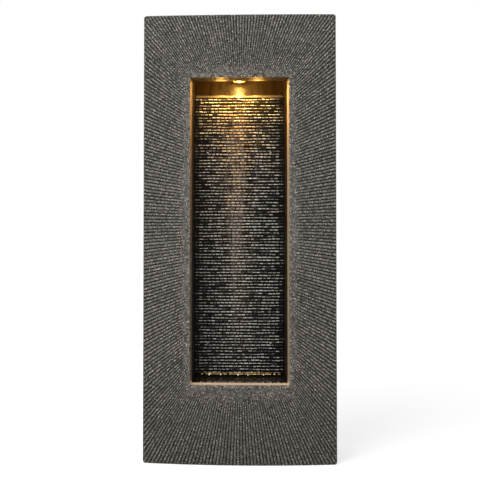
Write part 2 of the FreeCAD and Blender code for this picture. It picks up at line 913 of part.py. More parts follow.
def cover_screws_pump():
    shapes = []
    for y, z in gasket_screw_places():
        shapes.append(screw(V(pump_left, y, z), X, cover_length + gasket_thickness + cover_screw_bite))
    return Part.makeCompound(shapes)


def suction_feet():
    feet = []
    middle = (pot_left + pot_left + pot_length) / 2
    for dx in (-foot_spread, foot_spread):
        for dy in (-foot_spread, foot_spread):
            foot = V(middle + dx, -pump_depth + dy, floor_top)
            cup = Part.makeCone(foot_radius, foot_top_radius, foot_height, foot, Z)
            hollow = Part.makeCone(foot_radius - foot_skin, foot_top_radius - foot_skin, cup_depth, foot, Z)
            feet.append(cup.cut(hollow))
    return Part.makeCompound(feet)


def pump_nozzle():
    foot = V(outlet_x, hose_start_y, pump_top + outlet_rise)
    below = foot - Z * nozzle_plug
    stem = nozzle_top - foot.z
    pieces = [rod(outlet_radius + nozzle_rim, nozzle_flange, foot)]
    pieces.append(rod(spout_radius, stem, foot))
    pieces.append(rod(outlet_bore, nozzle_plug, below))
    for k in range(barb_rings):
        ring = V(foot.x, foot.y, nozzle_top - barb_pitch * (k + 1))
        pieces.append(Part.makeCone(hose_bore - pilot_gap, spout_radius, barb_ring, ring, Z))
    return union(pieces).cut(rod(nozzle_bore, stem + nozzle_plug, below))


# Flow regulator and screen

def regulator_face():
    return pump_left - screw_head - regulator_gap


def flow_regulator():
    right = regulator_face()
    left = right - regulator_disc
    disc = rod(regulator_disc_radius, regulator_disc, pump_axis(left), X)
    opening = Part.makeCylinder(inlet_radius, regulator_disc, pump_axis(left), X, regulator_window)
    opening = opening.cut(rod(neck_radius, regulator_disc, pump_axis(left), X))
    knob_right = pump_left - screen_length - regulator_gap
    stem = rod(regulator_stem_radius, left - knob_right, pump_axis(knob_right), X)
    knob = rod(regulator_knob_radius, regulator_knob, pump_axis(knob_right - regulator_knob), X)
    knob_left = knob_right - regulator_knob
    grip = box(knob_left - regulator_grip, knob_left, -regulator_grip_width / 2, regulator_grip_width / 2,
               -regulator_knob_radius, regulator_knob_radius)
    grip.translate(V(0, -pump_depth, pump_centre))
    return union([disc.cut(opening), stem, knob, grip])


def intake_screen():
    left = pump_left - screen_length
    outer = pump_block(left, pump_left)
    room = pump_block(left + screen_wall, pump_left, screen_wall)
    body = outer.cut(room)
    cuts = [rod(regulator_stem_radius + shaft_fit, screen_wall, pump_axis(left), X)]
    for k in range(screen_slots):
        z = pump_centre + (k - (screen_slots - 1) / 2) * 2 * screen_slot
        cuts.append(box(left + screen_margin, pump_left - screen_margin, -pump_depth - pump_width,
                        -pump_depth + pump_width, z - screen_slot / 2, z + screen_slot / 2))
    return body.cut(Part.makeCompound(cuts))


# Riser hose

def riser_hose():
    return routed_tube(hose_points, hose_radius, hose_bore, "riser hose")


def hose_clamps():
    lower = hose_points[0] + Z * clamp_end_gap
    upper = hose_points[-1] - Z * (clamp_end_gap + clamp_width)
    clamps = []
    for foot in (lower, upper):
        band = rod(hose_radius + clamp_thickness, clamp_width, foot)
        ear = box(foot.x + hose_radius, foot.x + hose_radius + clamp_ear, foot.y - clamp_ear_width / 2,
                  foot.y + clamp_ear_width / 2, foot.z, foot.z + clamp_width)
        clamps.append(union([band, ear]).cut(rod(hose_radius + pilot_gap, clamp_width, foot)))
    return Part.makeCompound(clamps)


def hose_clips():
    clips = []
    for height in hose_clip_heights:
        place, way = at_height(hose_points, height)
        reach = hose_radius + fit_gap
        outer = reach + clip_thickness
        low, high = height - clip_width / 2, height + clip_width / 2
        saddle = rod(outer, clip_width, place - way * (clip_width / 2), way)
        feet = box(place.x - outer - clip_foot, place.x + outer + clip_foot, -liner_back,
                   -liner_back + clip_thickness, low, high)
        body = union([saddle, feet])
        body = body.cut(rod(reach, 2 * clip_width, place - way * clip_width, way))
        body = body.cut(niche_block(liner_half, liner_back, low - clip_width, high + clip_width))
        for side in (-1, 1):
            seat = V(place.x + side * (outer + clip_foot / 2), -liner_back + clip_thickness, height)
            body = body.cut(screw_hole(seat, Y * -1, through_gap))
        clips.append(body)
    return Part.makeCompound(clips)


# Lamp

def lamp_foot(height):
    return V(0, -lamp_depth, height)


def bracket_screw_seats():
    height = niche_top + liner_wall + bracket_thickness
    return [V(side * bracket_span / 2, -lamp_depth, height) for side in (-1, 1)]


def led_bezel():
    ring = pipe(lamp_radius, bezel_inner_radius, bezel_thickness, lamp_foot(niche_top - bezel_thickness))
    low_edges = edges_at(ring, z=niche_top - bezel_thickness)
    rim = [edge for edge in low_edges if edge.Curve.Radius == lamp_radius]
    return ring.makeChamfer(bezel_edge, rim)


def led_lens():
    foot = lamp_foot(niche_top)
    disc = rod(lamp_hole_radius - fit_gap, lens_thickness, foot)
    dome = rod(bezel_inner_radius - fit_gap, lens_dome, foot - Z * lens_dome)
    return union([disc, dome])


def led_gasket():
    return pipe(lamp_radius, lamp_hole_radius, lamp_gasket, lamp_foot(niche_top + liner_wall))


def led_housing():
    foot = lamp_foot(niche_top + liner_wall + lamp_gasket)
    body = rod(lamp_radius, lamp_height, foot)
    body = body.makeFillet(lamp_round, edges_at(body, z=foot.z + lamp_height))
    start = lamp_lead_points[0]
    body = union([body, rod(lamp_lead_radius + lamp_wall / 2, start.x, V(0, start.y, start.z), X)])
    return body.cut(rod(lamp_radius - lamp_wall, lamp_height - lamp_wall, foot))


def led_board():
    foot = lamp_foot(niche_top + liner_wall + lamp_gasket + board_rise)
    board = rod(lamp_radius - lamp_wall - fit_gap, lamp_board, foot)
    pieces = [board]
    for k in range(chips):
        turn = 2 * math.pi * k / chips
        x = chip_ring * math.cos(turn)
        y = foot.y + chip_ring * math.sin(turn)
        pieces.append(box(x - chip_size / 2, x + chip_size / 2, y - chip_size / 2, y + chip_size / 2,
                          foot.z - chip_height, foot.z))
    return union(pieces)


def led_bracket():
    # A strap over the housing that presses it on its gasket.
    low = niche_top + liner_wall
    high = low + lamp_gasket + lamp_height
    half = bracket_span / 2
    y0 = -lamp_depth - bracket_width / 2
    y1 = -lamp_depth + bracket_width / 2
    leg = lamp_radius + bracket_gap
    pieces = [box(-leg, leg, y0, y1, high, high + bracket_thickness)]
    for side in (-1, 1):
        inner = side * leg
        outer = side * (leg + bracket_thickness)
        pieces.append(box(min(inner, outer), max(inner, outer), y0, y1, low, high + bracket_thickness))
        outer = side * (half + bracket_foot)
        pieces.append(box(min(inner, outer), max(inner, outer), y0, y1, low, low + bracket_thickness))
    body = union(pieces)
    lead_foot = V(lamp_radius, -lamp_depth, lamp_lead_height)
    lead_gap = rod(lamp_lead_radius + bracket_lead_gap, half, lead_foot, X)
    body = body.cut(lead_gap)
    for seat in bracket_screw_seats():
        body = body.cut(screw_hole(seat, Z * -1, through_gap))
    return body


# Leads and their outlet

def pump_lead():
    return routed_tube(pump_lead_points, lead_radius, 0.0, "pump lead")


def lamp_lead():
    return routed_tube(lamp_lead_points, lamp_lead_radius, 0.0, "lamp lead")


def lead_clips():
    clips = []
    for height in lead_clip_heights:
        place, way = at_height(lamp_lead_points, height)
        reach = lamp_lead_radius + fit_gap
        outer = reach + clip_thickness
        ring = rod(outer, clip_width, place - way * (clip_width / 2), way)
        block = box(liner_half, place.x, place.y - outer, place.y + outer, height - clip_width / 2,
                    height + clip_width / 2)
        body = union([ring, block]).cut(rod(reach, 2 * clip_width, place - way * clip_width, way))
        clips.append(body.cut(niche_block(liner_half, 0, height - clip_width, height + clip_width)))
    return Part.makeCompound(clips)


def lead_gland():
    foot = V(gland_x, -gland_depth, 0)
    body = union([rod(gland_radius, gland_top, foot), rod(gland_flange_radius, gland_flange, foot)])
    body = body.cut(rod(gland_bore, gland_bore_depth, foot))
    return body.makeChamfer(gland_chamfer, edges_at(body, z=gland_top))


def gland_nut():
    foot = V(gland_x, -gland_depth, shell_wall)
    thread = rod(gland_radius + pilot_gap, gland_nut_height, foot)
    return hexagon(gland_nut_radius, gland_nut_height, foot).cut(thread)


# Rear cover and hanger

def rear_cover():
    half = half_width - shell_wall - cover_gap
    body = box(-half, half, -cover_plate_depth, -cover_plate_depth + cover_plate, cover_bottom, cover_top)
    corners = [e for e in body.Edges if abs(e.Length - cover_plate) < 0.01]
    body = body.makeFillet(cover_corner, corners)
    for seat in cover_screw_seats():
        body = body.cut(screw_hole(seat, Y * -1, through_gap))
    return body


def hanger_bar():
    half = half_width - shell_wall - hanger_end_gap
    low = hanger_height - hanger_width / 2
    body = box(-half, half, -hanger_thickness, 0, low, low + hanger_width)
    cuts = []
    for side in (-1, 1):
        x = side * hanger_spacing / 2
        cuts.append(rod(keyhole_radius, hanger_thickness, V(x, -hanger_thickness, hanger_height), Y))
        cuts.append(box(x - keyhole_slot / 2, x + keyhole_slot / 2, -hanger_thickness, 0,
                        hanger_height, hanger_height + keyhole_rise))
        top = V(x, -hanger_thickness, hanger_height + keyhole_rise)
        cuts.append(rod(keyhole_slot / 2, hanger_thickness, top, Y))
    for seat in hanger_screw_seats():
        cuts.append(screw_hole(seat, Y * -1, through_gap))
        cuts.append(rod(screw_head_radius + fit_gap, hanger_screw_head, seat, Y))
    return body.cut(Part.makeCompound(cuts))


def screw_set(seats, axis, head_height=screw_head):
    return Part.makeCompound([screw(seat, axis, screw_length, head_height) for seat in seats])


def hose_clip_screws():
    shapes = []
    for height in hose_clip_heights:
        place, way = at_height(hose_points, height)
        for side in (-1, 1):
            x = place.x + side * (hose_radius + fit_gap + clip_thickness + clip_foot / 2)
            shapes.append(screw(V(x, -liner_back + clip_thickness, height), Y * -1, clip_thickness))
    return Part.makeCompound(shapes)


sub_parts = {
    "frame_shell": frame_shell,
    "niche_liner": niche_liner,
    "liner_screws": lambda: screw_set(liner_screw_seats(), face_way()),
    "slate_panel": slate_panel,
    "slate_screws": lambda: screw_set(slate_screw_seats(), Y * -1),
    "spill_trough": spill_trough,
    "water_spout": water_spout,
    "spout_nut": spout_nut,
    "drain_grate": drain_grate,
    "reservoir_basin": reservoir_basin,
    "basin_plug": basin_plug,
    "pump_body": pump_body,
    "pump_gasket": pump_gasket,
    "impeller_cover": impeller_cover,
    "impeller_cover_screws": cover_screws_pump,
    "shaft_bushes": shaft_bushes,
    "pump_shaft": pump_shaft,
    "pump_rotor": pump_rotor,
    "suction_feet": suction_feet,
    "pump_nozzle": pump_nozzle,
    "flow_regulator": flow_regulator,
    "intake_screen": intake_screen,
    "riser_hose": riser_hose,
    "hose_clamps": hose_clamps,
    "hose_clips": hose_clips,
    "hose_clip_screws": hose_clip_screws,
    "led_bezel": led_bezel,
    "led_lens": led_lens,
    "led_gasket": led_gasket,
    "led_housing": led_housing,
    "led_board": led_board,
    "led_bracket": led_bracket,
    "bracket_screws": lambda: screw_set(bracket_screw_seats(), Z * -1),
    "pump_lead": pump_lead,
    "lamp_lead": lamp_lead,
    "lead_clips": lead_clips,
    "lead_gland": lead_gland,
    "gland_nut": gland_nut,
    "rear_cover": rear_cover,
    "rear_cover_screws": lambda: screw_set(cover_screw_seats(), Y * -1),
    "hanger_bar": hanger_bar,
    "hanger_screws": lambda: screw_set(hanger_screw_seats(), Y * -1, hanger_screw_head),
}

os.makedirs("parts", exist_ok=True)
for name, make in sub_parts.items():
    shape = make()
    shape.translate(V(0, 0, -hanger_height))
    shape.exportStep("parts/" + name + ".step")
    print(name, len(shape.Solids), shape.isValid(), round(shape.Volume))
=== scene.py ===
import json
import math
import random
from collections import namedtuple

import bmesh
import bpy
from mathutils import Euler, Matrix, Vector, noise


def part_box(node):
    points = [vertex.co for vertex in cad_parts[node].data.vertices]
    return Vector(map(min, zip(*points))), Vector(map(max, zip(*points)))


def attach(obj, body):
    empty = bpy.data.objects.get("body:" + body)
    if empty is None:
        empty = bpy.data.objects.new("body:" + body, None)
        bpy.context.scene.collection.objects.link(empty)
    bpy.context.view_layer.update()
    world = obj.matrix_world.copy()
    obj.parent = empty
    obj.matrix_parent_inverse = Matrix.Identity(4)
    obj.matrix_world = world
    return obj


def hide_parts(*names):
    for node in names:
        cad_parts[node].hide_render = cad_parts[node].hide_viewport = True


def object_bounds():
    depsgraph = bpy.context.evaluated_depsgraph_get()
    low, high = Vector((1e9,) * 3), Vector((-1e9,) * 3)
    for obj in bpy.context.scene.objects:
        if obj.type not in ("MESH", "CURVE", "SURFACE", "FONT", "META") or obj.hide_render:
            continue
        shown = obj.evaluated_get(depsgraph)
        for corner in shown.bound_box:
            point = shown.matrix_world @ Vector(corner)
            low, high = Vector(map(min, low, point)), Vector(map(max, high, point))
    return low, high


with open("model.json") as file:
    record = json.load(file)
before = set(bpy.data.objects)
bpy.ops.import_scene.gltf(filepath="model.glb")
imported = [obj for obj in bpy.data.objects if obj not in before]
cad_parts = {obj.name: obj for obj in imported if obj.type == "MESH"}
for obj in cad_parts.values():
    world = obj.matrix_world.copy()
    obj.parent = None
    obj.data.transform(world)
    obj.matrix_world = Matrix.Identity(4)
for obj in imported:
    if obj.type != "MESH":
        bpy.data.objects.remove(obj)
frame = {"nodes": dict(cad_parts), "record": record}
cad_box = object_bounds()
nodes = frame["nodes"]

bl_info = {
    "name": "Garden wall fountain",
    "version": (1, 0, 0),
    "blender": (4, 5, 0),
    "location": "3D View > Sidebar > Fountain",
    "description": "Dresses a wall fountain: ribbed surround, slate ledges, running water and a warm lamp",
    "category": "Mesh",
}

BODY = "fountain"
BASE = cad_box[0].z


# Bench tools: short helpers for shapes

def keep_piece(name, bm, finish, smooth=True, stands_for=()):
    """Turns a finished bmesh into a piece that rides on the fountain."""
    bm.normal_update()
    mesh = bpy.data.meshes.new(name)
    bm.to_mesh(mesh)
    bm.free()
    for face in mesh.polygons:
        face.use_smooth = smooth
    piece = bpy.data.objects.new(name, mesh)
    bpy.context.scene.collection.objects.link(piece)
    mesh.materials.append(finish)
    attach(piece, BODY)
    if stands_for:
        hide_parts(*stands_for)


def above_base(x, y, z):
    """A point whose height is measured from the fountain's underside."""
    return Vector((x, y, z + BASE))


def block(bm, centre, size):
    """A box; gives its corners."""
    return bmesh.ops.create_cube(bm, size=1.0, matrix=Matrix.LocRotScale(centre, None, size))["verts"]


def drop(bm, centre, size):
    """A small round drop; gives its points."""
    matrix = Matrix.LocRotScale(centre, None, size)
    return bmesh.ops.create_icosphere(bm, subdivisions=2, radius=1.0, matrix=matrix)["verts"]


def grain(x, y, z, size):
    """Smooth noise from -1 to 1, with lumps of one size."""
    return noise.noise(Vector((x / size, y / size, z / size)))


def ease(low, high, value):
    """0 below the low value, 1 above the high one, smooth between them."""
    share = min(1.0, max(0.0, (value - low) / (high - low)))
    return share * share * (3 - 2 * share)


def bell(offset, width):
    """1 in the middle, running out to 0 some widths away."""
    return math.exp(-((offset / width) ** 2))


def partway(near, far, share):
    return [start + (end - start) * share for start, end in zip(near, far)]


def toned(tint, factor, lift=0.0):
    """A tint made darker or paler, never past white."""
    return [min(1.0, level * factor + lift) for level in tint]


# Bench tools: node materials

class Finish:
    """A procedural material built on Object coordinates."""

    def __init__(self, name, **shader):
        self.material = bpy.data.materials.new(name)
        self.material.use_nodes = True
        self.tree = self.material.node_tree
        self.shader = self.tree.nodes["Principled BSDF"]
        self.place = self.add("ShaderNodeTexCoord").outputs["Object"]
        self.dress(self.shader, shader)

    def dress(self, node, values):
        for key, value in values.items():
            socket = node.inputs[key.replace("_", " ") if isinstance(key, str) else key]
            if isinstance(value, bpy.types.NodeSocket):
                self.tree.links.new(value, socket)
            else:
                socket.default_value = value

    def add(self, kind, values=None, **settings):
        node = self.tree.nodes.new(kind)
        for key, value in settings.items():
            setattr(node, key, value)
        self.dress(node, values or {})
        return node

    def stretched(self, scale):
        return self.add("ShaderNodeMapping", {"Vector": self.place, "Scale": scale}).outputs[0]

    def cloud(self, scale, detail=4.0, rough=0.6, vector=None):
        values = {"Vector": vector or self.place, "Scale": scale, "Detail": detail, "Roughness": rough}
        return self.add("ShaderNodeTexNoise", values).outputs[0]

    def cells(self, scale):
        return self.add("ShaderNodeTexVoronoi", {"Vector": self.place, "Scale": scale}).outputs["Distance"]

    def along(self, axis):
        return self.add("ShaderNodeSeparateXYZ", {0: self.place}).outputs[axis]

    def attribute(self, name):
        return self.add("ShaderNodeAttribute", attribute_name=name).outputs["Fac"]

    def between(self, value, low, high, to_low=0.0, to_high=1.0):
        values = {0: value, 1: low, 2: high, 3: to_low, 4: to_high}
        return self.add("ShaderNodeMapRange", values, interpolation_type="SMOOTHSTEP").outputs[0]

    def sum(self, a, b):
        return self.add("ShaderNodeMath", {0: a, 1: b}, operation="ADD").outputs[0]

    def times(self, a, b):
        return self.add("ShaderNodeMath", {0: a, 1: b}, operation="MULTIPLY").outputs[0]

    def vector(self, operation, *values):
        node = self.add("ShaderNodeVectorMath", dict(enumerate(values)), operation=operation)
        return node.outputs["Value" if operation == "LENGTH" else "Vector"]

    def blend(self, share, low, high):
        """From the low colour to the high one; each is a colour or another node's output."""
        node = self.add("ShaderNodeMix", data_type="RGBA")
        share_at, low_at, high_at, result_at = 0, 6, 7, 2
        for index, value in ((share_at, share), (low_at, low), (high_at, high)):
            if isinstance(value, bpy.types.NodeSocket):
                self.tree.links.new(value, node.inputs[index])
            else:
                node.inputs[index].default_value = value if index == share_at else (*value, 1.0)
        return node.outputs[result_at]

    def bump(self, height, strength, distance):
        values = {"Height": height, "Strength": strength, "Distance": distance}
        return self.add("ShaderNodeBump", values).outputs[0]

    def wear(self, **links):
        self.dress(self.shader, links)
        return self.material


def stone_finish(tint):
    """Cast surround: dark warm grey, pale beads on the ribs and black pits between them, with painted shade
    in the grooves, on the plain band and towards the foot, and painted lamp light and shade on the lip.
    """
    pit_and_shade_black, groove_shade_black = (0.012, 0.011, 0.010), (0.009, 0.008, 0.007)
    stone = Finish("surround_stone", Roughness=0.72, Specular_IOR_Level=0.4)
    beads = stone.cells(290.0)
    fine = stone.cloud(620.0, 3.0, 0.75)
    coarse = stone.cloud(210.0, 4.0, 0.7)
    broad = stone.cloud(12.0, 3.0, 0.5)
    height = stone.along("Z")
    body = stone.blend(stone.between(coarse, 0.38, 0.62), toned(tint, 0.38), toned(tint, 1.36))
    body = stone.blend(stone.between(broad, 0.35, 0.7, 0.0, 0.25), body, toned(tint, 1.5))
    body = stone.blend(stone.between(fine, 0.48, 0.38, 0.0, 0.85), body, pit_and_shade_black)
    light = stone.times(stone.between(beads, 0.44, 0.14), stone.between(fine, 0.40, 0.56))
    body = stone.blend(light, body, toned(tint, 4.7))
    # Painted shade: the grooves, and a share of the plain band, go towards near black
    groove_shade = stone.between(stone.attribute("groove_shade"), 0.05, 0.75, 0.0, 0.98)
    body = stone.blend(groove_shade, body, groove_shade_black)
    # Painted shade: the surround goes darker towards its foot
    painted_foot_shade = stone.between(height, BASE + 0.22, BASE + 0.04, 0.0, 0.24)
    body = stone.blend(painted_foot_shade, body, pit_and_shade_black)
    # The lip gets its warm colour with painted lamp light and shade over it
    lip = stone.times(stone.attribute("lip"), 0.92)
    body = stone.blend(lip, body, lip_colour_and_painted_light(stone, coarse, height))
    relief = stone.sum(stone.times(coarse, 0.9), stone.times(beads, -0.9))
    relief = stone.sum(relief, stone.times(fine, 0.4))
    return stone.wear(Base_Color=body, Normal=stone.bump(relief, 1.0, 0.0018))


def lip_colour_and_painted_light(stone, coarse, height):
    """Wet turned-in lip: a warm beige with painted lamp light and shade over it; each zone lies over the ones
    before it.
    """
    across = stone.along("X")
    zones = (
        # painted amber lamp light, stronger towards the lamp
        (height, BASE + 0.20, BASE + 0.66, 0.8, (0.165, 0.085, 0.020)),
        # paler on the right, where more light comes in
        (across, -0.02, 0.08, 0.50, (0.66, 0.50, 0.32)),
        # shade on the left
        (across, 0.0, -0.08, 0.25, (0.05, 0.03, 0.012)),
        # painted shade on the underside of the head
        (height, BASE + 0.690, BASE + 0.704, 1.0, (0.048, 0.027, 0.002)),
        # pale painted light on the wet sill
        (height, BASE + 0.153, BASE + 0.149, 1.0, (0.88, 0.66, 0.46)),
    )
    lip_tone_and_painted_light = stone.blend(stone.between(coarse, 0.35, 0.65), (0.085, 0.066, 0.042), (0.25, 0.19, 0.125))
    for place, start, end, most, colour in zones:
        lip_tone_and_painted_light = stone.blend(stone.between(place, start, end, 0.0, most), lip_tone_and_painted_light, colour)
    return lip_tone_and_painted_light


def slate_finish(tint):
    """Wet split slate: black in the joints, painted highlights on the chip faces, paler still where the water
    runs, with painted amber lamp light on the stream.
    """
    joint_black, joint_grey = (0.002, 0.0016, 0.0012), (0.007, 0.0055, 0.0045)
    haze, painted_lamp_amber = (0.30, 0.205, 0.13), (1.0, 0.66, 0.30)
    slate = Finish("wet_slate", Specular_IOR_Level=0.35)
    painted_shading = slate.attribute("painted_shading")
    stream = slate.attribute("stream")
    height = slate.along("Z")
    flecks = slate.cloud(420.0, 3.0, 0.65)
    layers = slate.cloud(70.0, 5.0, 0.7, slate.stretched((1.0, 1.0, 6.0)))
    body = slate.blend(slate.between(layers, 0.35, 0.65), joint_black, joint_grey)
    body = slate.blend(slate.times(stream, 0.40), body, haze)
    # Painted highlight: the chip faces go from the joint colour to the tint
    shine = slate.between(slate.sum(painted_shading, slate.between(flecks, 0.3, 0.7, -0.14, 0.14)), 0.44, 0.72)
    # Painted amber lamp light on the upper part of the stream, broken up by noise
    painted_lamp_light = slate.times(slate.between(stream, 0.1, 0.6), slate.between(height, BASE + 0.22, BASE + 0.56))
    painted_lamp_light = slate.times(painted_lamp_light, slate.between(slate.cloud(130.0, 2.0, 0.6), 0.40, 0.60, 0.25, 1.0))
    body = slate.blend(shine, body, slate.blend(slate.times(painted_lamp_light, 0.85), tint, painted_lamp_amber))
    rough = slate.between(painted_shading, 0.2, 0.7, 0.75, 0.26)
    relief = slate.sum(layers, slate.times(flecks, 0.5))
    return slate.wear(Base_Color=body, Roughness=rough, Normal=slate.bump(relief, 0.6, 0.0007))


def wet_plastic_finish(name, tint, rough=0.22, shine_level=0.5):
    """Smooth dark moulded plastic with water streaks that run down it."""
    plastic = Finish(name, Specular_IOR_Level=shine_level)
    runs = plastic.cloud(22.0, 5.0, 0.6, plastic.stretched((3.6, 3.6, 0.7)))
    orange_peel = plastic.cloud(700.0, 2.0, 0.5)
    body = plastic.blend(plastic.between(runs, 0.35, 0.7), tint, toned(tint, 1.5))
    shine = plastic.between(runs, 0.3, 0.7, rough * 0.8, rough * 1.3)
    relief = plastic.sum(runs, plastic.times(orange_peel, 0.06))
    return plastic.wear(Base_Color=body, Roughness=shine, Normal=plastic.bump(relief, 0.25, 0.0015))


def moulded_finish(name, tint, rough=0.45, texture=900.0):
    """Injection-moulded plastic with a fine spark-eroded texture and faint flow marks."""
    plastic = Finish(name, Specular_IOR_Level=0.45)
    fine = plastic.cloud(texture, 3.0, 0.6)
    flow = plastic.cloud(22.0, 4.0, 0.55, plastic.stretched((1.0, 1.0, 2.5)))
    body = plastic.blend(plastic.between(flow, 0.3, 0.72), tint, toned(tint, 1.35, 0.004))
    shine = plastic.between(flow, 0.3, 0.7, rough * 0.8, min(1.0, rough * 1.25))
    return plastic.wear(Base_Color=body, Roughness=shine, Normal=plastic.bump(fine, 0.22, 0.0003))


def metal_finish(name, tint, rough, spangle=0.0):
    """Metal with fine scratches, and zinc spangle where it is galvanised."""
    metal = Finish(name, Metallic=1.0)
    scratch = metal.cloud(240.0, 4.0, 0.6, metal.stretched((1.0, 1.0, 9.0)))
    patches = metal.cells(130.0)
    body = metal.blend(metal.between(scratch, 0.3, 0.7, 0.0, 0.5), tint, toned(tint, 0.72))
    body = metal.blend(metal.times(patches, spangle), body, toned(tint, 0.5))
    shine = metal.between(scratch, 0.3, 0.7, rough * 0.75, rough * 1.3)
    return metal.wear(Base_Color=body, Roughness=shine, Normal=metal.bump(scratch, 0.12, 0.0003))


def rubber_finish(name, tint, rough=0.6):
    """Soft rubber or vinyl with a dull bloom."""
    rubber = Finish(name, Specular_IOR_Level=0.4, Roughness=rough)
    bloom = rubber.cloud(90.0, 4.0, 0.6)
    body = rubber.blend(rubber.between(bloom, 0.35, 0.7), tint, toned(tint, 1.5, 0.01))
    return rubber.wear(Base_Color=body, Normal=rubber.bump(rubber.cloud(800.0), 0.15, 0.0003))


def glow_finish(name, tint, strength):
    """Lit lamp face, hottest in the middle and amber towards its rim."""
    rim_reach, core_reach, core_tint = 0.008, 0.001, (1.0, 0.93, 0.70)
    low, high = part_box("led_lens")
    glow = Finish(name, Roughness=0.25)
    offset = glow.vector("SUBTRACT", glow.place, tuple((low + high) / 2))
    reach = glow.vector("LENGTH", glow.vector("MULTIPLY", offset, (1.0, 1.0, 0.0)))
    heat = glow.between(reach, rim_reach, core_reach)
    body = glow.blend(heat, tint, core_tint)
    mottle = glow.between(glow.cloud(260.0), 0.3, 0.7, 0.8, 1.2)
    level = glow.times(glow.between(heat, 0.0, 1.0, 0.25, strength), mottle)
    return glow.wear(Base_Color=body, Emission_Color=body, Emission_Strength=level)


def water_finish(name, cover, tint):
    """Clear water as a bright skin over what is behind it, thinning out at its edges; the skin's pale colour
    is a painted sheen, with foam in it.
    """
    foam_white = (0.80, 0.76, 0.72)
    water = Finish(name, Roughness=0.05, IOR=1.33, Specular_IOR_Level=0.8)
    ripple = water.cloud(120.0, 3.0, 0.5, water.stretched((2.0, 2.0, 0.6)))
    foam = water.between(water.cloud(420.0, 3.0, 0.6), 0.52, 0.68)
    body = water.blend(foam, tint, foam_white)
    # The pale skin is a painted sheen, shown as far as its share says
    seen = water.times(water.attribute("painted_sheen_share"), cover)
    seen = water.times(seen, water.between(foam, 0.0, 1.0, 0.55, 1.0))
    return water.wear(Base_Color=body, Alpha=seen, Normal=water.bump(ripple, 0.5, 0.002))


def dark_water_finish(name):
    """Water with painted shade: nearly black, with thin painted highlights that run down it."""
    water = Finish(name, Roughness=0.12, IOR=1.33, Specular_IOR_Level=0.6)
    lines = water.cloud(260.0, 3.0, 0.55, water.stretched((1.6, 1.6, 0.12)))
    # Painted shade with painted highlight lines
    body = water.blend(water.between(lines, 0.52, 0.66), (0.010, 0.009, 0.008), (0.22, 0.20, 0.18))
    return water.wear(Base_Color=body, Normal=water.bump(lines, 0.5, 0.001))


def drip_finish(name):
    """Hanging drops with a painted glow: painted amber light where they catch the lamp, a painted white
    highlight in the fullest ones.
    """
    painted_deep_amber, painted_lamp_amber, white = (0.42, 0.20, 0.03), (1.0, 0.68, 0.20), (1.0, 0.92, 0.74)
    drip = Finish(name, Roughness=0.08, IOR=1.33, Specular_IOR_Level=0.8)
    sparkle = drip.cloud(350.0, 2.0, 0.5)
    body = drip.blend(drip.between(sparkle, 0.35, 0.65), painted_deep_amber, painted_lamp_amber)
    body = drip.blend(drip.attribute("white"), body, white)
    # Painted glow: the drops give off light of their own
    level = drip.between(sparkle, 0.3, 0.7, 0.2, 0.8)
    return drip.wear(Base_Color=body, Emission_Color=body, Emission_Strength=level)


# Settings

class SurroundSettings(bpy.types.PropertyGroup):
    """Sizes and colour of the ribbed surround."""

    side_pitch: bpy.props.FloatProperty(
        name="Side pitch", description="Rib spacing on the sides, square to the ribs",
        default=0.00632, unit="LENGTH")
    head_pitch: bpy.props.FloatProperty(
        name="Head pitch", description="Rib spacing across the head", default=0.0056, unit="LENGTH")
    sill_pitch: bpy.props.FloatProperty(
        name="Sill pitch", description="Rib spacing across the sill", default=0.0064, unit="LENGTH")
    rib_depth: bpy.props.FloatProperty(
        name="Rib depth", description="Depth of the grooves at the outer edge",
        default=0.0025, unit="LENGTH")
    bead: bpy.props.FloatProperty(
        name="Bead", description="Unevenness along each rib", default=0.0007, unit="LENGTH")
    plain_band: bpy.props.FloatProperty(
        name="Plain band", description="Width round the opening where the ribs run out",
        default=0.022, unit="LENGTH")
    edge_round: bpy.props.FloatProperty(
        name="Edge round", description="Rounding of the outer edge", default=0.003, unit="LENGTH")
    corner: bpy.props.FloatProperty(
        name="Corner", description="Rounding of the four outer corners", default=0.0045, unit="LENGTH")
    lip_round: bpy.props.FloatProperty(
        name="Lip round", description="Rounding where the face turns into the opening",
        default=0.0012, unit="LENGTH")
    tint: bpy.props.FloatVectorProperty(
        name="Stone", description="Colour of the cast stone",
        default=(0.184, 0.169, 0.148), subtype="COLOR")


class SlateSettings(bpy.types.PropertyGroup):
    """Sizes and colour of the stacked slate ledges."""

    rows: bpy.props.IntProperty(name="Rows", description="Courses of slate", default=91)
    stones: bpy.props.IntProperty(name="Stones", description="Chips in each course", default=21)
    joint: bpy.props.FloatProperty(
        name="Joint", description="Gap between two courses", default=0.0026, unit="LENGTH")
    wander: bpy.props.FloatProperty(
        name="Wander", description="How far a course strays from level", default=0.0018, unit="LENGTH")
    # The tint is the colour of the painted highlight on the chip faces
    tint: bpy.props.FloatVectorProperty(
        name="Slate", description="Colour of the wet slate", default=(1.0, 0.96, 0.90), subtype="COLOR")
    seed: bpy.props.IntProperty(name="Seed", description="Start of the stone pattern", default=21)


class WaterSettings(bpy.types.PropertyGroup):
    """The running water."""

    mound: bpy.props.FloatProperty(
        name="Mound", description="Height of the water over the spout", default=0.011, unit="LENGTH")
    strands: bpy.props.IntProperty(name="Strands", description="Runnels down the slate", default=14)
    level: bpy.props.FloatProperty(
        name="Basin level", description="Water level above the basin's foot", default=0.070, unit="LENGTH")
    seed: bpy.props.IntProperty(name="Seed", description="Start of the water pattern", default=5)


class LampSettings(bpy.types.PropertyGroup):
    """The warm lamp over the trough."""

    power: bpy.props.FloatProperty(
        name="Power", description="Strength of the lamp", default=1.3, subtype="POWER")
    tint: bpy.props.FloatVectorProperty(
        name="Light", description="Colour of the lamp", default=(1.0, 0.56, 0.12), subtype="COLOR")


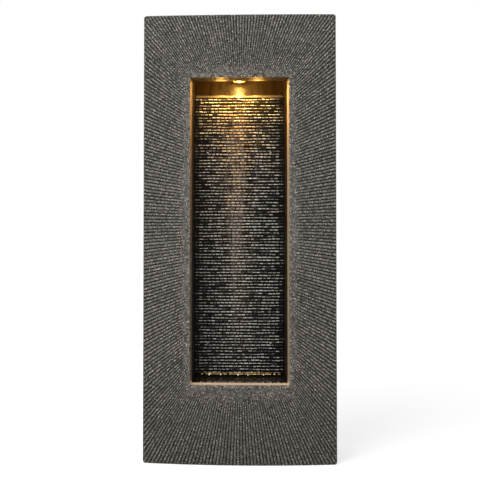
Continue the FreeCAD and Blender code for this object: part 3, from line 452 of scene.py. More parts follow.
class StageSettings(bpy.types.PropertyGroup):
    """Studio round the fountain."""

    key_power: bpy.props.FloatProperty(
        name="Key", description="Strength of the soft key light", default=36.0, subtype="POWER")
    fill: bpy.props.FloatProperty(
        name="Fill", description="Strength of the even light from all round", default=0.33)


GROUPS = (
    ("fountain_surround", SurroundSettings),
    ("fountain_slate", SlateSettings),
    ("fountain_water", WaterSettings),
    ("fountain_lamp", LampSettings),
    ("fountain_stage", StageSettings),
)


# Surround: sizes in metres, heights from the underside

FRAME_HALF = 0.178
FRAME_HIGH = 0.828
WALL = 0.005
OPENING_HALF = 0.091
OPENING_LOW = 0.145
OPENING_TALL = 0.566
OPENING_TOP = OPENING_LOW + OPENING_TALL
SIDE_BORDER = FRAME_HALF - OPENING_HALF
HEAD_BORDER = FRAME_HIGH - OPENING_TOP

# The side wall is deepest at the foot, and so is the crown of the face
SIDE_DEEP = 0.121
SIDE_TAPER = 0.022
CROWN = 0.012
CROWN_TAPER = 0.008

# The lip closes in on the opening as it turns inwards
LIP_DEEP = 0.016
LIP_WALL = 0.003
LIP_IN = 0.0030
LIP_UP = 0.0024
LIP_DOWN = 0.0045

# Side ribs lie level at one height and lean more towards the corners
LEVEL_HEIGHT = 0.53 * FRAME_HIGH
LEAN_EVEN = 0.62
LEAN_CORNER = 0.38

# The plain band is wider on the sill, and its painted shade is a share of a groove's
SILL_BAND = 1.7
BAND_SHADE = 0.27
FACE_STEPS = 30

BOSSES = 4
BOSS_HALF = 0.096
BOSS_RADIUS = 0.0045
BOSS_LONG = 0.013
BOSS_LOW = OPENING_LOW + 0.003
BOSS_RUN = OPENING_TALL - 0.0075
BLOCK_EDGE = 0.0006
# Middle and size of the blocks on the right; the left side mirrors them
COVER_LEDGE = ((0.1695, -0.009, 0.440), (0.009, 0.010, 0.616))
HANGER_BLOCK = ((0.1635, -0.008, 0.775), (0.021, 0.012, 0.032))

SILL, RIGHT, HEAD, LEFT = range(4)
Place = namedtuple("Place", "side outside inside depth rib")


def face_depth(x, height):
    """How far the crowned face stands off the wall."""
    crown = CROWN - CROWN_TAPER * height / FRAME_HIGH
    return SIDE_DEEP - SIDE_TAPER * height / FRAME_HIGH + crown * (1 - (x / FRAME_HALF) ** 2)


def side_lean(height):
    """Slope of a side rib: level at one height, steeper towards the corners."""
    if height < LEVEL_HEIGHT:
        share, full = (LEVEL_HEIGHT - height) / LEVEL_HEIGHT, OPENING_LOW / SIDE_BORDER
    else:
        share, full = (height - LEVEL_HEIGHT) / (FRAME_HIGH - LEVEL_HEIGHT), -HEAD_BORDER / SIDE_BORDER
    return full * (LEAN_EVEN * share + LEAN_CORNER * share ** 4)


def rim(side, share, half, low, high, corner=0.0):
    """A point on a rectangle, its share of a side counted from -1 to 1 the way round the ring."""
    middle = (low + high) / 2
    across, up = half * share, (high - low) / 2 * share
    x, z = [(across, low - middle), (half, up), (-across, high - middle), (-half, -up)][side]
    past_x, past_z = abs(x) - (half - corner), abs(z) - ((high - low) / 2 - corner)
    if corner and past_x > 0 and past_z > 0:
        trim = corner / math.hypot(past_x, past_z)
        x = math.copysign(half - corner + past_x * trim, x)
        z = math.copysign((high - low) / 2 - corner + past_z * trim, z)
    return x, z + middle


def outline(place, inset, corner=0.0):
    """Where a place meets the outer outline, drawn in all round."""
    return rim(place.side, place.outside, FRAME_HALF - inset, inset, FRAME_HIGH - inset, corner)


def opening(place, grow=0.0, turned_in=0.0):
    """Where a place meets the opening, grown all round, some share of the way down the lip."""
    half = OPENING_HALF - LIP_IN * turned_in + grow
    low = OPENING_LOW + LIP_UP * turned_in - grow
    return rim(place.side, place.inside, half, low, OPENING_TOP - LIP_DOWN * turned_in + grow)


class FOUNTAIN_OT_surround(bpy.types.Operator):
    """Build the hollow surround with ribs that fan out round the opening"""

    bl_idname = "fountain.surround"
    bl_label = "Surround"

    # Where a rib's places lie between two crests, and the share of the groove's depth there
    RIB = ((0.0, 0.0), (0.28, 0.16), (0.43, 1.0), (0.57, 1.0), (0.72, 0.16))

    def crests(self, low, high, pitch, lean):
        """Rib crests one pitch apart, square to the way they run."""
        found = [low]
        while found[-1] < high:
            found.append(found[-1] + pitch * math.hypot(1.0, lean(found[-1])))
        fit = (high - low) / (found[-1] - low)
        return [low + (crest - low) * fit for crest in found]

    def side_place(self, side, at):
        """Shares along the side and along the opening where a leaning rib starts and ends."""
        inner = at + side_lean(at) * SIDE_BORDER
        outside = 2 * at / FRAME_HIGH - 1
        inside = 2 * (inner - OPENING_LOW) / OPENING_TALL - 1
        return (outside, inside) if side == RIGHT else (-outside, -inside)

    def places(self, own):
        """The places round the ring, five to a rib, with the groove's depth at each."""
        found = []
        for side in (SILL, RIGHT, HEAD, LEFT):
            leaning = side in (RIGHT, LEFT)
            if leaning:
                marks = self.crests(0.0, FRAME_HIGH, own.side_pitch, side_lean)
            else:
                pitch = own.head_pitch if side == HEAD else own.sill_pitch
                fan = SIDE_BORDER / (HEAD_BORDER if side == HEAD else OPENING_LOW)
                marks = self.crests(-FRAME_HALF, FRAME_HALF, pitch, lambda x: x / FRAME_HALF * fan)
            if side == LEFT:
                marks = marks[::-1]
            for mark, after in zip(marks, marks[1:]):
                for phase, depth in self.RIB:
                    at = mark + (after - mark) * phase
                    shares = self.side_place(side, at) if leaning else (at / FRAME_HALF,) * 2
                    found.append(Place(side, *shares, depth, len(found) // len(self.RIB)))
        return found

    def stations(self):
        """The ring's section, from the back of the lip out over the face and back through the inside."""
        quarter = [math.radians(turn) for turn in (0, 30, 60, 90)]
        steps = [(self.lip, share) for share in (1.0, 0.72, 0.45, 0.25)]
        steps += [(self.lip_edge, turn) for turn in quarter]
        steps += [(self.face, step / FACE_STEPS) for step in range(1, FACE_STEPS)]
        steps += [(self.outer_edge, turn) for turn in quarter]
        steps += [(self.side, share) for share in (0.62, 0.3, 0.0)]
        steps += [(self.room, share) for share in (0.0, 0.5, 1.0)]
        steps += [(self.room_face, share) for share in (0.5, 1.0)]
        return steps + [(self.lip_back, 1.0)]

    # Each station gives x, y and height of a place, then its share of painted groove shade and of the lip

    def lip(self, own, place, share):
        x, z = opening(place, turned_in=share)
        front = face_depth(x, z) - own.lip_round
        back = face_depth(0, z) - LIP_DEEP
        return x, -front * (1 - share) - back * share, z, 0.0, 1.0

    def lip_edge(self, own, place, turn):
        x, z = opening(place, own.lip_round * (1 - math.cos(turn)))
        return x, -face_depth(x, z) + own.lip_round * (1 - math.sin(turn)), z, 0.0, 0.0

    def face(self, own, place, share):
        near = opening(place, own.lip_round)
        far = outline(place, own.edge_round, own.corner - own.edge_round)
        x, z = partway(near, far, share)
        band = own.plain_band * (0.8 + 0.6 * grain(place.rib * 0.37, 3.1, place.side, 1.0))
        if place.side == SILL:
            band *= SILL_BAND
        fade = ease(band * 0.2, band * 1.3, math.dist(near, far) * share)
        deepest = own.rib_depth * (0.85 + 0.5 * grain(place.rib * 0.61, 9.7, 1.3, 1.0))
        sunk = place.depth * fade * deepest * (0.6 + 0.4 * share)
        sunk *= 1 + 0.5 * grain(x, z, place.rib * 0.013, 0.006)
        knobs = (0.5 + 0.5 * grain(x, z, place.rib * 0.5, 0.0032)) * own.bead * (1 - 0.6 * place.depth)
        # Painted shade: full in the grooves as the ribs come in, a share of it on the plain band
        painted_shading = max(place.depth * fade, BAND_SHADE * (1 - fade))
        return x, -face_depth(x, z) + sunk + knobs, z, painted_shading, 0.0

    def outer_edge(self, own, place, turn):
        inset = own.edge_round * (1 - math.sin(turn))
        x, z = outline(place, inset, own.corner - inset)
        back = own.edge_round * (1 - math.cos(turn))
        notch = place.depth * own.rib_depth * 0.8 * math.cos(turn)
        # The grooves' painted shade runs on over the outer edge
        return x, -face_depth(x, z) + back + notch, z, place.depth * math.cos(turn) ** 2, 0.0

    def side(self, own, place, share):
        x, z = outline(place, 0.0, own.corner)
        return x, -(face_depth(x, z) - own.edge_round) * share, z, 0.0, 0.0

    def room(self, own, place, share):
        x, z = outline(place, WALL)
        return x, -(face_depth(x, z) - WALL) * share, z, 0.0, 0.0

    def room_face(self, own, place, share):
        x, z = partway(outline(place, WALL), opening(place, LIP_WALL), share)
        return x, -face_depth(x, z) + WALL, z, 0.0, 0.0

    def lip_back(self, own, place, share):
        x, z = opening(place, LIP_WALL, share)
        return x, -face_depth(0, z) + LIP_DEEP, z, 0.0, 0.0

    def settle(self, own, verts, places, step, layers):
        """Moves the points of one turn of the ring to their station."""
        number, groove_shade, lip = layers
        locate, value = step
        for vert in verts:
            x, y, z, vert[groove_shade], vert[lip] = locate(own, places[vert[number]], value)
            vert.co = above_base(x, y, z)

    def execute(self, context):
        own = context.scene.fountain_surround
        places = self.places(own)
        steps = self.stations()
        bm = bmesh.new()
        number = bm.verts.layers.int.new("number")
        layers = (number, bm.verts.layers.float.new("groove_shade"), bm.verts.layers.float.new("lip"))
        ring = bmesh.ops.create_circle(bm, segments=len(places), radius=1.0)["verts"]
        for index, vert in enumerate(ring):
            vert[number] = index
        self.settle(own, ring, places, steps[0], layers)
        first = loop = bm.edges[:]
        for step in steps[1:]:
            made = bmesh.ops.extrude_edge_only(bm, edges=loop)["geom"]
            loop = [item for item in made if isinstance(item, bmesh.types.BMEdge)]
            verts = [item for item in made if isinstance(item, bmesh.types.BMVert)]
            self.settle(own, verts, places, step, layers)
        bmesh.ops.bridge_loops(bm, edges=first + loop)
        bmesh.ops.recalc_face_normals(bm, faces=bm.faces)
        self.sort_faces(bm)
        finish = stone_finish(own.tint)
        keep_piece("surround_ribbed", bm, finish, stands_for=("frame_shell",))
        self.bosses(finish)
        return {"FINISHED"}

    def sort_faces(self, bm):
        """Puts the faces, which extruding gives in no fixed order, in the order of their points."""
        bm.verts.index_update()

        def order(face):
            numbers = [vert.index for vert in face.verts]
            return float(max(numbers) * len(bm.verts) + min(numbers))

        bm.faces.sort(key=order)

    def bosses(self, finish):
        """Screw bosses, cover ledges and hanger blocks on the inside, seen from behind."""
        bm = bmesh.new()
        groove_shade = bm.verts.layers.float.new("groove_shade")
        lip = bm.verts.layers.float.new("lip")
        facing = Euler((math.pi / 2, 0, 0))
        for side in (-1, 1):
            for boss in range(BOSSES):
                z = BOSS_LOW + BOSS_RUN * (boss + 0.5) / BOSSES
                centre = above_base(side * BOSS_HALF, LIP_DEEP - face_depth(0.0, z) - BOSS_LONG / 2, z)
                bmesh.ops.create_cone(
                    bm, cap_ends=True, segments=24, radius1=BOSS_RADIUS, radius2=BOSS_RADIUS,
                    depth=BOSS_LONG, matrix=Matrix.LocRotScale(centre, facing, None))
            for (x, y, z), size in (COVER_LEDGE, HANGER_BLOCK):
                block(bm, above_base(side * x, y, z), size)
        sharp = [edge for edge in bm.edges if edge.calc_face_angle() > 1.0]
        bmesh.ops.bevel(
            bm, geom=sharp, offset=BLOCK_EDGE, segments=2, profile=0.5, affect="EDGES", material=-1)
        for vert in bm.verts:
            vert[groove_shade] = vert[lip] = 0.0
        keep_piece("surround_bosses", bm, finish, smooth=False, stands_for=("frame_shell",))


# Slate ledges

SLATE_HALF = 0.086
SLATE_LOW = 0.151
SLATE_HIGH = 0.685
BOARD_BACK = -0.030
BOARD_FRONT = -0.034

# Chips: half the gap between two, the worn rim of a front, how far one sits in the board,
# how far it stands out, what is shaved off its front, and the share of its height that is undercut
CHIP_GAP = 0.0004
CHIP_RIM = 0.0008
CHIP_SUNK = 0.0005
CHIP_REACH = (0.0042, 0.0072)
CHIP_SHAVED = 0.0014
CHIP_UNDERCUT = 0.16


class FOUNTAIN_OT_slate(bpy.types.Operator):
    """Stack the split slate chips course by course"""

    bl_idname = "fountain.slate"
    bl_label = "Slate ledges"

    def flow(self, x, z):
        """How strongly the water runs at this place on the ledges."""
        high = (z - SLATE_LOW) / (SLATE_HIGH - SLATE_LOW)
        middle = -0.004 + 0.010 * math.sin(6.0 * high + 0.6) * (1 - high)
        middle += 0.006 * grain(0.3, z, 0.0, 0.05)
        width = 0.013 + 0.030 * high * high
        return bell(x - middle, width) * ease(-0.02, 0.14, high) * (0.75 + 0.7 * grain(x, z, 1.7, 0.012))

    def cuts(self, own, draw):
        """Shares along a course where one chip ends and the next begins."""
        found = [0.0]
        while found[-1] < 1.0:
            found.append(found[-1] + draw.choice((0.8, 0.9, 1.0, 1.0, 1.1, 1.3)) / own.stones)
        return [cut / found[-1] for cut in found]

    def execute(self, context):
        own = context.scene.fountain_slate
        draw = random.Random(own.seed)
        bm = bmesh.new()
        painted_shading = bm.verts.layers.float.new("painted_shading")
        stream = bm.verts.layers.float.new("stream")
        board = above_base(0.0, (BOARD_BACK + BOARD_FRONT) / 2, (SLATE_LOW + SLATE_HIGH) / 2)
        block(bm, board, (2 * SLATE_HALF, BOARD_BACK - BOARD_FRONT, SLATE_HIGH - SLATE_LOW))
        stones = []
        for row in range(own.rows):
            cuts = self.cuts(own, draw)
            for left, right in zip(cuts, cuts[1:]):
                x0 = -SLATE_HALF + 2 * SLATE_HALF * left + CHIP_GAP
                x1 = -SLATE_HALF + 2 * SLATE_HALF * right - CHIP_GAP
                stones.append(self.stone(bm, own, draw, row, x0, x1))
        fronts = [face for face, low, high, painted_highlight in stones]
        bmesh.ops.inset_individual(
            bm, faces=fronts, thickness=CHIP_RIM, depth=CHIP_RIM, use_even_offset=True)
        # Each chip's front gets its painted highlight; all else keeps the joint colour
        for face, low, high, painted_highlight in stones:
            for vert in face.verts:
                vert[painted_shading] = painted_highlight
                if vert.co.z < (low + high) / 2:
                    vert.co.z += (high - low) * CHIP_UNDERCUT
                vert.co.x += draw.uniform(-0.0003, 0.0003)
                vert.co.z += draw.uniform(-0.0002, 0.0002)
        for vert in bm.verts:
            vert[stream] = max(0.0, self.flow(vert.co.x, vert.co.z - BASE))
        bmesh.ops.recalc_face_normals(bm, faces=bm.faces)
        finish = slate_finish(own.tint)
        keep_piece("slate_ledges", bm, finish, smooth=False, stands_for=("slate_panel",))
        return {"FINISHED"}

    def stone(self, bm, own, draw, row, x0, x1):
        """One chip: a rough block, its front face to be worked on, its bed and top, and the strength of its
        painted highlight.
        """
        pitch = (SLATE_HIGH - SLATE_LOW) / own.rows
        x = (x0 + x1) / 2
        stray = own.wander * grain(x, row * 0.7, 0.0, 0.045)
        stray += own.wander * 0.5 * grain(x, row * 3.1, 4.0, 0.02)
        low = SLATE_LOW + row * pitch + own.joint / 2 + max(0.0, stray) * (row > 0)
        high = SLATE_LOW + (row + 1) * pitch - own.joint / 2 + min(0.0, stray)
        high -= draw.uniform(0.0, 0.0006)
        reach = draw.uniform(*CHIP_REACH)
        centre = above_base(x, BOARD_FRONT + CHIP_SUNK - reach / 2, (low + high) / 2)
        made = block(bm, centre, (x1 - x0, reach + 2 * CHIP_SUNK, high - low))
        tip = draw.uniform(-0.0006, 0.0006)
        for vert in made:
            if vert.co.y < centre.y:
                vert.co.y += draw.uniform(0.0, 0.0008) + (tip if vert.co.z > centre.z else 0.0) + CHIP_SHAVED
        faces = [face for vert in made for face in vert.link_faces]
        front = min(faces, key=lambda face: face.calc_center_median().y)
        return front, low + BASE, high + BASE, self.painted_highlight(own, draw, row, x)

    def painted_highlight(self, own, draw, row, x):
        """How strong a chip's painted highlight is: uneven, brightest near the stream, with painted shade at
        the sides and top corners.
        """
        painted_highlight = draw.choice((0.60, 0.75, 0.90, 1.0, 1.0, 1.0)) * draw.uniform(0.88, 1.0)
        painted_highlight *= 0.87 + 0.13 * bell(x + 0.010, 0.055)
        painted_highlight *= 1.0 - 0.35 * ease(0.074, 0.082, abs(x))
        return painted_highlight * (1.0 - 0.08 * ease(0.030, 0.060, abs(x)) * ease(0.55, 1.0, row / own.rows))


# Water: heights from the underside, y from the wall. The strands dip under the basin's surface.

POOL_TOP = 0.6885
POOL_BACK = -0.0125
POOL_RUN = 0.0255
POOL_SHARE = 0.6
SPOUT_Y = -0.0195
MOUND_HALF = 0.021
MOUND_TIP = 0.007
MOUND_DEEP = 0.0085
WEIR_WIDE = 0.166
WEIR_TOP = 0.6882
WEIR_BACK = -0.038
WEIR_FRONT = -0.0405
FILM = 0.0012

SLOT_PITCH = 0.014
SLOTS_EACH_SIDE = 5
SLOT_Y = -0.0625
GRATE_UNDER = 0.1425
STRAND_DIP = 0.001
STRAND_WIDE = 0.0074
STRAND_THIN = 0.0018

DRIP_Y = -0.0405
DRIP_FROM = -0.072
DRIP_TO = 0.078
HANGING_DROPS = (-0.058, -0.036, -0.002, 0.017, 0.047)

RUNNEL_Y = -0.0412
RUNNEL_EDGE = 0.083


class FOUNTAIN_OT_water(bpy.types.Operator):
    """Pour the water: mound, weir film, runnels, drips, strands under the grate and the basin"""

    bl_idname = "fountain.water"
    bl_label = "Water"

    def sheet(self, name, across, along, place, finish, painted_sheen_share=lambda u, v, spot: 1.0):
        """A skin of water; the painted sheen share says how much of it shows at each point."""
        bm = bmesh.new()
        layer = bm.verts.layers.float.new("painted_sheen_share")
        bmesh.ops.create_grid(bm, x_segments=across, y_segments=along, size=0.5)
        for vert in bm.verts:
            u, v = vert.co.x + 0.5, vert.co.y + 0.5
            vert.co = place(u, v)
            vert[layer] = painted_sheen_share(u, v, vert.co)
        keep_piece(name, bm, finish)

    def weir(self, own, finish):
        """The pool with its mound, and the film that turns over the weir."""
        def place(u, v):
            x = (u - 0.5) * WEIR_WIDE
            if v < POOL_SHARE:
                y = POOL_BACK - v / POOL_SHARE * POOL_RUN
                peak = 0.75 * max(0.0, 1 - abs(x) / MOUND_HALF) + 0.25 * bell(x, MOUND_TIP)
                swell = own.mound * peak * bell(y - SPOUT_Y, MOUND_DEEP)
                ripple = 0.0005 * grain(x, y, 2.0, 0.006) * bell(x, 0.05)
                return above_base(x, y, POOL_TOP + swell + ripple)
            fall = (v - POOL_SHARE) / (1 - POOL_SHARE)
            turn = min(1.0, fall * 3) * math.pi / 2
            y = WEIR_BACK - (WEIR_BACK - WEIR_FRONT + FILM) * math.sin(turn)
            fringe = 0.0022 + 0.0016 * grain(x, 0.0, 8.0, 0.004)
            z = WEIR_TOP - FILM * (1 - math.cos(turn)) - max(0.0, fall - 0.33) * fringe
            return above_base(x, y - 0.0004 * grain(x, z, 0.0, 0.005), z)

        def painted_sheen_share(u, v, spot):
            mound = max(0.0, spot.z - POOL_TOP - BASE)
            # Painted sheen thins out at the sides, and the mound gets a strong painted highlight
            return (1 - 0.7 * ease(0.010, 0.075, abs(spot.x))) * (1 + 160 * mound)

        self.sheet("water_weir", 120, 24, place, finish, painted_sheen_share)

    def runnel(self, name, draw, finish):
        """One runnel down the slate, which sways, swells and thins on its way."""
        start = draw.gauss(-0.004, 0.020)
        half = draw.uniform(0.0015, 0.0060)
        top = SLATE_HIGH - draw.uniform(0.0, 0.05)
        bottom = SLATE_LOW + draw.uniform(0.0, 0.30)
        sway = draw.uniform(0.0, 9.0)

        def place(u, v):
            z = top + (bottom - top) * v
            x = start * (1 - 0.35 * v) + 0.007 * grain(sway, z, 0.0, 0.05)
            x += (u - 0.5) * 2 * half * (0.4 + abs(grain(sway, z, 3.0, 0.011)) * 2)
            x = max(-RUNNEL_EDGE, min(RUNNEL_EDGE, x))
            swell = 0.0006 * math.sin(math.pi * u)
            return above_base(x, RUNNEL_Y - swell - 0.0005 * grain(x, z, sway, 0.004), z)

        def painted_sheen_share(u, v, spot):
            return math.sin(math.pi * u) ** 2 * math.sin(math.pi * v) ** 0.5

        self.sheet(name, 7, 90, place, finish, painted_sheen_share)

    def drips(self, draw):
        """Beads of water along the lowest ledge, with a painted glow where they catch the lamp, and drops
        that hang from them.
        """
        bm = bmesh.new()
        white = bm.verts.layers.float.new("white")
        x = DRIP_FROM
        while x < DRIP_TO:
            wide = draw.uniform(0.0012, 0.0021)
            centre = above_base(x, DRIP_Y, SLATE_LOW + 0.0004 - draw.uniform(0.0, 0.0006))
            drop(bm, centre, (wide * 1.4, 0.0012, 0.0007))
            x += wide * draw.choice((1.7, 1.9, 2.3, 2.8 + 50 * abs(x)))
        for x in HANGING_DROPS:
            long = draw.uniform(0.0012, 0.0022)
            centre = above_base(x, DRIP_Y, SLATE_LOW + 0.0002 - long * 0.6)
            for vert in drop(bm, centre, (0.0012, 0.0010, long)):
                # The hanging drops get a painted white highlight
                vert[white] = 1.0
                if vert.co.z > centre.z:
                    vert.co.x = x + (vert.co.x - x) * 0.6
        keep_piece("water_drips", bm, drip_finish("drips_painted_glow"))

    def falls(self, own):
        """Strands of water, painted near black as shade, that drop through the grate slots into the basin."""
        bm = bmesh.new()
        top, bottom = GRATE_UNDER, WALL + own.level - STRAND_DIP
        for slot in range(-SLOTS_EACH_SIDE, SLOTS_EACH_SIDE + 1):
            centre = above_base(slot * SLOT_PITCH, SLOT_Y, (top + bottom) / 2)
            made = block(bm, centre, (STRAND_WIDE, STRAND_THIN, top - bottom))
            edges = dict.fromkeys(edge for vert in made for edge in vert.link_edges)
            edges = [edge for edge in edges if edge.calc_length() > 2 * STRAND_THIN]
            bmesh.ops.subdivide_edges(bm, edges=edges, cuts=7, use_grid_fill=True)
        for vert in bm.verts:
            middle = round(vert.co.x / SLOT_PITCH) * SLOT_PITCH
            height = vert.co.z - BASE
            neck = 0.72 + 0.28 * ease(bottom, top, height) ** 2
            vert.co.x = middle + (vert.co.x - middle) * neck
            vert.co.y += 0.0009 * grain(middle, height, vert.co.x, 0.008)
        keep_piece("water_falls", bm, dark_water_finish("falling_water"))

    def basin(self, own, finish):
        """The still surface in the basin, clear of its walls."""
        low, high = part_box("reservoir_basin")
        end_gap, side_gap = 0.004, 0.006

        def place(u, v):
            x = low.x + end_gap + (high.x - low.x - 2 * end_gap) * u
            y = low.y + side_gap + (high.y - low.y - 2 * side_gap) * v
            return Vector((x, y, low.z + own.level + 0.0003 * grain(x, y, 0.0, 0.02)))

        self.sheet("water_basin", 40, 16, place, finish)

    def execute(self, context):
        own = context.scene.fountain_water
        draw = random.Random(own.seed)
        skin = water_finish("water_skin", 0.55, (0.34, 0.30, 0.26))
        bright = water_finish("water_runnel", 0.26, (0.42, 0.36, 0.32))
        self.weir(own, skin)
        for strand in range(own.strands):
            self.runnel("water_runnel_%02d" % (strand + 1), draw, bright)
        self.drips(draw)
        self.falls(own)
        self.basin(own, skin)
        return {"FINISHED"}


# Lamp and finishes of the carried-over parts

class FOUNTAIN_OT_lamp(bpy.types.Operator):
    """Light the warm lamp over the trough"""

    bl_idname = "fountain.lamp"
    bl_label = "Lamp"

    # Light that the wet walls throw back, on each side of the lamp
    BOUNCE_APART = 0.034
    BOUNCE_SHARE = 0.13

    def execute(self, context):
        own = context.scene.fountain_lamp
        low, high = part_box("led_lens")
        middle = (low.x + high.x) / 2
        self.bulb(context, "lamp_glow", (middle, low.y - 0.008, low.z - 0.006), 0.006, own, 1.0)
        for side, name in ((-1, "lamp_bounce_left"), (1, "lamp_bounce_right")):
            place = (middle + side * self.BOUNCE_APART, low.y - 0.026, low.z - 0.012)
            self.bulb(context, name, place, 0.008, own, self.BOUNCE_SHARE)
        return {"FINISHED"}

    def bulb(self, context, name, place, radius, own, share):
        light = bpy.data.lights.new(name, "POINT")
        light.shadow_soft_size = radius
        light.energy = own.power * share
        light.color = own.tint
        bulb = bpy.data.objects.new(name, light)
        bulb.location = place
        context.scene.collection.objects.link(bulb)


# Nodes with a finish of their own, then the finish of every other node's slot
FINISHES = {
    "niche_liner": lambda: wet_plastic_finish("liner_plastic", (0.010, 0.0062, 0.0024), 0.28, 0.10),
    "spill_trough": lambda: wet_plastic_finish("trough_plastic_wet", (0.060, 0.045, 0.030), 0.16),
    "drain_grate": lambda: wet_plastic_finish("grate_plastic", (0.012, 0.011, 0.010), 0.3),
    "reservoir_basin": lambda: moulded_finish("basin_plastic", (0.014, 0.014, 0.014)),
    "rear_cover": lambda: moulded_finish("cover_plastic", (0.020, 0.020, 0.020), 0.5, 600.0),
}
SLOT_FINISHES = {
    "pump_plastic": lambda: moulded_finish("pump_plastic_moulding", (0.022, 0.022, 0.024), 0.35),
    "fitting_plastic": lambda: moulded_finish("fitting_moulding", (0.030, 0.030, 0.031), 0.4),
    "regulator_plastic": lambda: moulded_finish("regulator_moulding", (0.09, 0.10, 0.11), 0.38),
    "rotor_ferrite": lambda: rubber_finish("ferrite", (0.050, 0.048, 0.050), 0.5),
    "shaft_ceramic": lambda: moulded_finish("ceramic", (0.75, 0.73, 0.68), 0.2),
    "black_rubber": lambda: rubber_finish("black_seal", (0.018, 0.018, 0.018), 0.7),
    "hose_vinyl": lambda: rubber_finish("vinyl_hose", (0.35, 0.36, 0.33), 0.28),
    "lead_sheath": lambda: rubber_finish("lead_vinyl", (0.022, 0.022, 0.023), 0.5),
    "steel": lambda: metal_finish("screw_steel", (0.62, 0.61, 0.59), 0.3),
    "galvanised_steel": lambda: metal_finish("galvanised", (0.56, 0.58, 0.59), 0.42, 0.8),
    "lamp_metal": lambda: metal_finish("lamp_alloy", (0.50, 0.49, 0.47), 0.34),
    "lamp_lens": lambda: glow_finish("lit_lens", (0.85, 0.42, 0.07), 5.0),
    "lamp_board": lambda: glow_finish("lit_board", (1.0, 0.62, 0.20), 6.0),
}


class FOUNTAIN_OT_finishes(bpy.types.Operator):
    """Give every carried-over part the finish of its own material"""

    bl_idname = "fountain.finishes"
    bl_label = "Finishes"

    def execute(self, context):
        slots = {entry["node"]: entry["material_slot"] for entry in frame["record"]["subparts"]}
        made = {}
        for name, piece in nodes.items():
            if piece.hide_render:
                continue
            key = name if name in FINISHES else slots[name]
            if key not in made:
                made[key] = (FINISHES.get(key) or SLOT_FINISHES[key])()
            piece.data.materials.clear()
            piece.data.materials.append(made[key])
        return {"FINISHED"}


# Stage: the middle of the fountain, and the camera's place above the underside

AIM = (0.0, 0.0, -0.36)
FLOOR_GAP = 0.0004
FLOOR_HALF = 9.0
WHITE = (1.0, 1.0, 1.0, 1.0)
CAMERA_X = -0.014
CAMERA_Y = -1.513
CAMERA_HIGH = 0.4008
CAMERA_DOWN = math.radians(0.127)
CAMERA_TURN = math.radians(1.93)


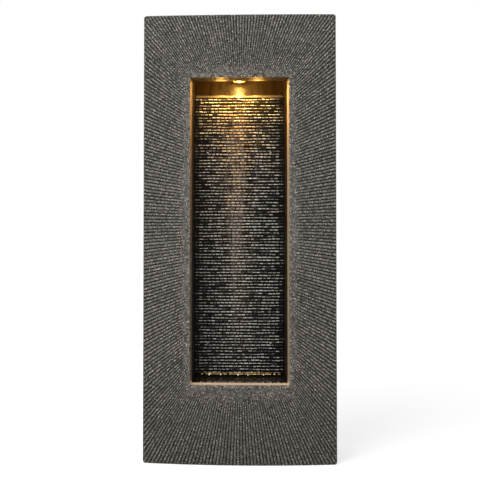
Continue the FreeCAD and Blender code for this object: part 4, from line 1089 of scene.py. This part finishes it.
class FOUNTAIN_OT_stage(bpy.types.Operator):
    """Set the pale floor, the soft studio light and the camera"""

    bl_idname = "fountain.stage"
    bl_label = "Stage"

    def floor(self, context):
        """Pale floor that keeps the shadow and goes white to the camera further out."""
        bm = bmesh.new()
        bmesh.ops.create_grid(bm, x_segments=2, y_segments=2, size=FLOOR_HALF)
        bmesh.ops.translate(bm, verts=bm.verts, vec=(0.0, 0.0, BASE - FLOOR_GAP))
        mesh = bpy.data.meshes.new("floor")
        bm.to_mesh(mesh)
        bm.free()
        floor = bpy.data.objects.new("floor", mesh)
        context.scene.collection.objects.link(floor)
        pale = Finish("pale_floor", Base_Color=(0.80, 0.80, 0.80, 1.0), Roughness=0.9, Specular_IOR_Level=0.0)
        seen = pale.add("ShaderNodeLightPath").outputs["Is Camera Ray"]
        away = pale.vector("LENGTH", pale.place)
        glow = pale.times(seen, pale.between(away, 1.0, 2.4, 0.62, 0.80))
        mesh.materials.append(pale.wear(Emission_Color=WHITE, Emission_Strength=glow))

    def world(self, context, fill):
        """Even fill light; white where the camera or a mirror-like surface looks past the floor."""
        world = bpy.data.worlds.new("studio")
        world.use_nodes = True
        tree = world.node_tree
        even = tree.nodes["Background"]
        even.inputs["Color"].default_value = WHITE
        even.inputs["Strength"].default_value = fill
        white = tree.nodes.new("ShaderNodeBackground")
        white.inputs["Color"].default_value = WHITE
        white.inputs["Strength"].default_value = 1.0
        mix = tree.nodes.new("ShaderNodeMixShader")
        path = tree.nodes.new("ShaderNodeLightPath")
        seen = path.outputs["Is Camera Ray"]
        for other in ("Is Glossy Ray", "Is Transmission Ray"):
            either = tree.nodes.new("ShaderNodeMath")
            either.operation = "MAXIMUM"
            tree.links.new(seen, either.inputs[0])
            tree.links.new(path.outputs[other], either.inputs[1])
            seen = either.outputs[0]
        tree.links.new(seen, mix.inputs[0])
        tree.links.new(even.outputs[0], mix.inputs[1])
        tree.links.new(white.outputs[0], mix.inputs[2])
        tree.links.new(mix.outputs[0], tree.nodes["World Output"].inputs["Surface"])
        context.scene.world = world

    def lamp(self, context, name, place, size, power):
        """Soft panel light turned towards the fountain."""
        light = bpy.data.lights.new(name, "AREA")
        light.shape = "RECTANGLE"
        light.size, light.size_y = size
        light.energy = power
        lamp = bpy.data.objects.new(name, light)
        lamp.location = place
        lamp.rotation_euler = (Vector(AIM) - Vector(place)).to_track_quat("-Z", "Y").to_euler()
        context.scene.collection.objects.link(lamp)

    def camera(self, context):
        camera = bpy.data.cameras.new("camera")
        camera.lens = 57.07
        camera.sensor_width = 36.0
        camera.shift_x = 0.0702
        camera.shift_y = 0.0138
        eye = bpy.data.objects.new("camera", camera)
        eye.location = (CAMERA_X, CAMERA_Y, BASE + CAMERA_HIGH)
        eye.rotation_euler = Euler((math.pi / 2 - CAMERA_DOWN, 0.0, CAMERA_TURN))
        context.scene.collection.objects.link(eye)
        context.scene.camera = eye

    def execute(self, context):
        own = context.scene.fountain_stage
        self.floor(context)
        self.world(context, own.fill)
        self.lamp(context, "key", (-1.12, -1.25, 1.2), (1.7, 1.7), own.key_power)
        self.lamp(context, "side", (1.6, -1.7, 0.1), (1.0, 1.6), own.key_power * 0.12)
        self.camera(context)
        context.scene.view_settings.view_transform = "Standard"
        return {"FINISHED"}


OPERATORS = (
    FOUNTAIN_OT_stage,
    FOUNTAIN_OT_surround,
    FOUNTAIN_OT_slate,
    FOUNTAIN_OT_water,
    FOUNTAIN_OT_lamp,
    FOUNTAIN_OT_finishes,
)


class FOUNTAIN_PT_panel(bpy.types.Panel):
    """Fountain settings and the steps that build it"""

    bl_label = "Fountain"
    bl_idname = "FOUNTAIN_PT_panel"
    bl_space_type = "VIEW_3D"
    bl_region_type = "UI"
    bl_category = "Fountain"

    def draw(self, context):
        for name, group in GROUPS:
            box = self.layout.box()
            settings = getattr(context.scene, name)
            for key in group.__annotations__:
                box.prop(settings, key)
        for operator in OPERATORS:
            self.layout.operator(operator.bl_idname)


def register():
    for name, group in GROUPS:
        bpy.utils.register_class(group)
        setattr(bpy.types.Scene, name, bpy.props.PointerProperty(type=group))
    for operator in OPERATORS:
        bpy.utils.register_class(operator)
    bpy.utils.register_class(FOUNTAIN_PT_panel)


def unregister():
    bpy.utils.unregister_class(FOUNTAIN_PT_panel)
    for operator in reversed(OPERATORS):
        bpy.utils.unregister_class(operator)
    for name, group in reversed(GROUPS):
        delattr(bpy.types.Scene, name)
        bpy.utils.unregister_class(group)


def main():
    register()
    bpy.ops.fountain.stage()
    bpy.ops.fountain.surround()
    bpy.ops.fountain.slate()
    bpy.ops.fountain.water()
    bpy.ops.fountain.lamp()
    bpy.ops.fountain.finishes()


if __name__ == "__main__":
    main()
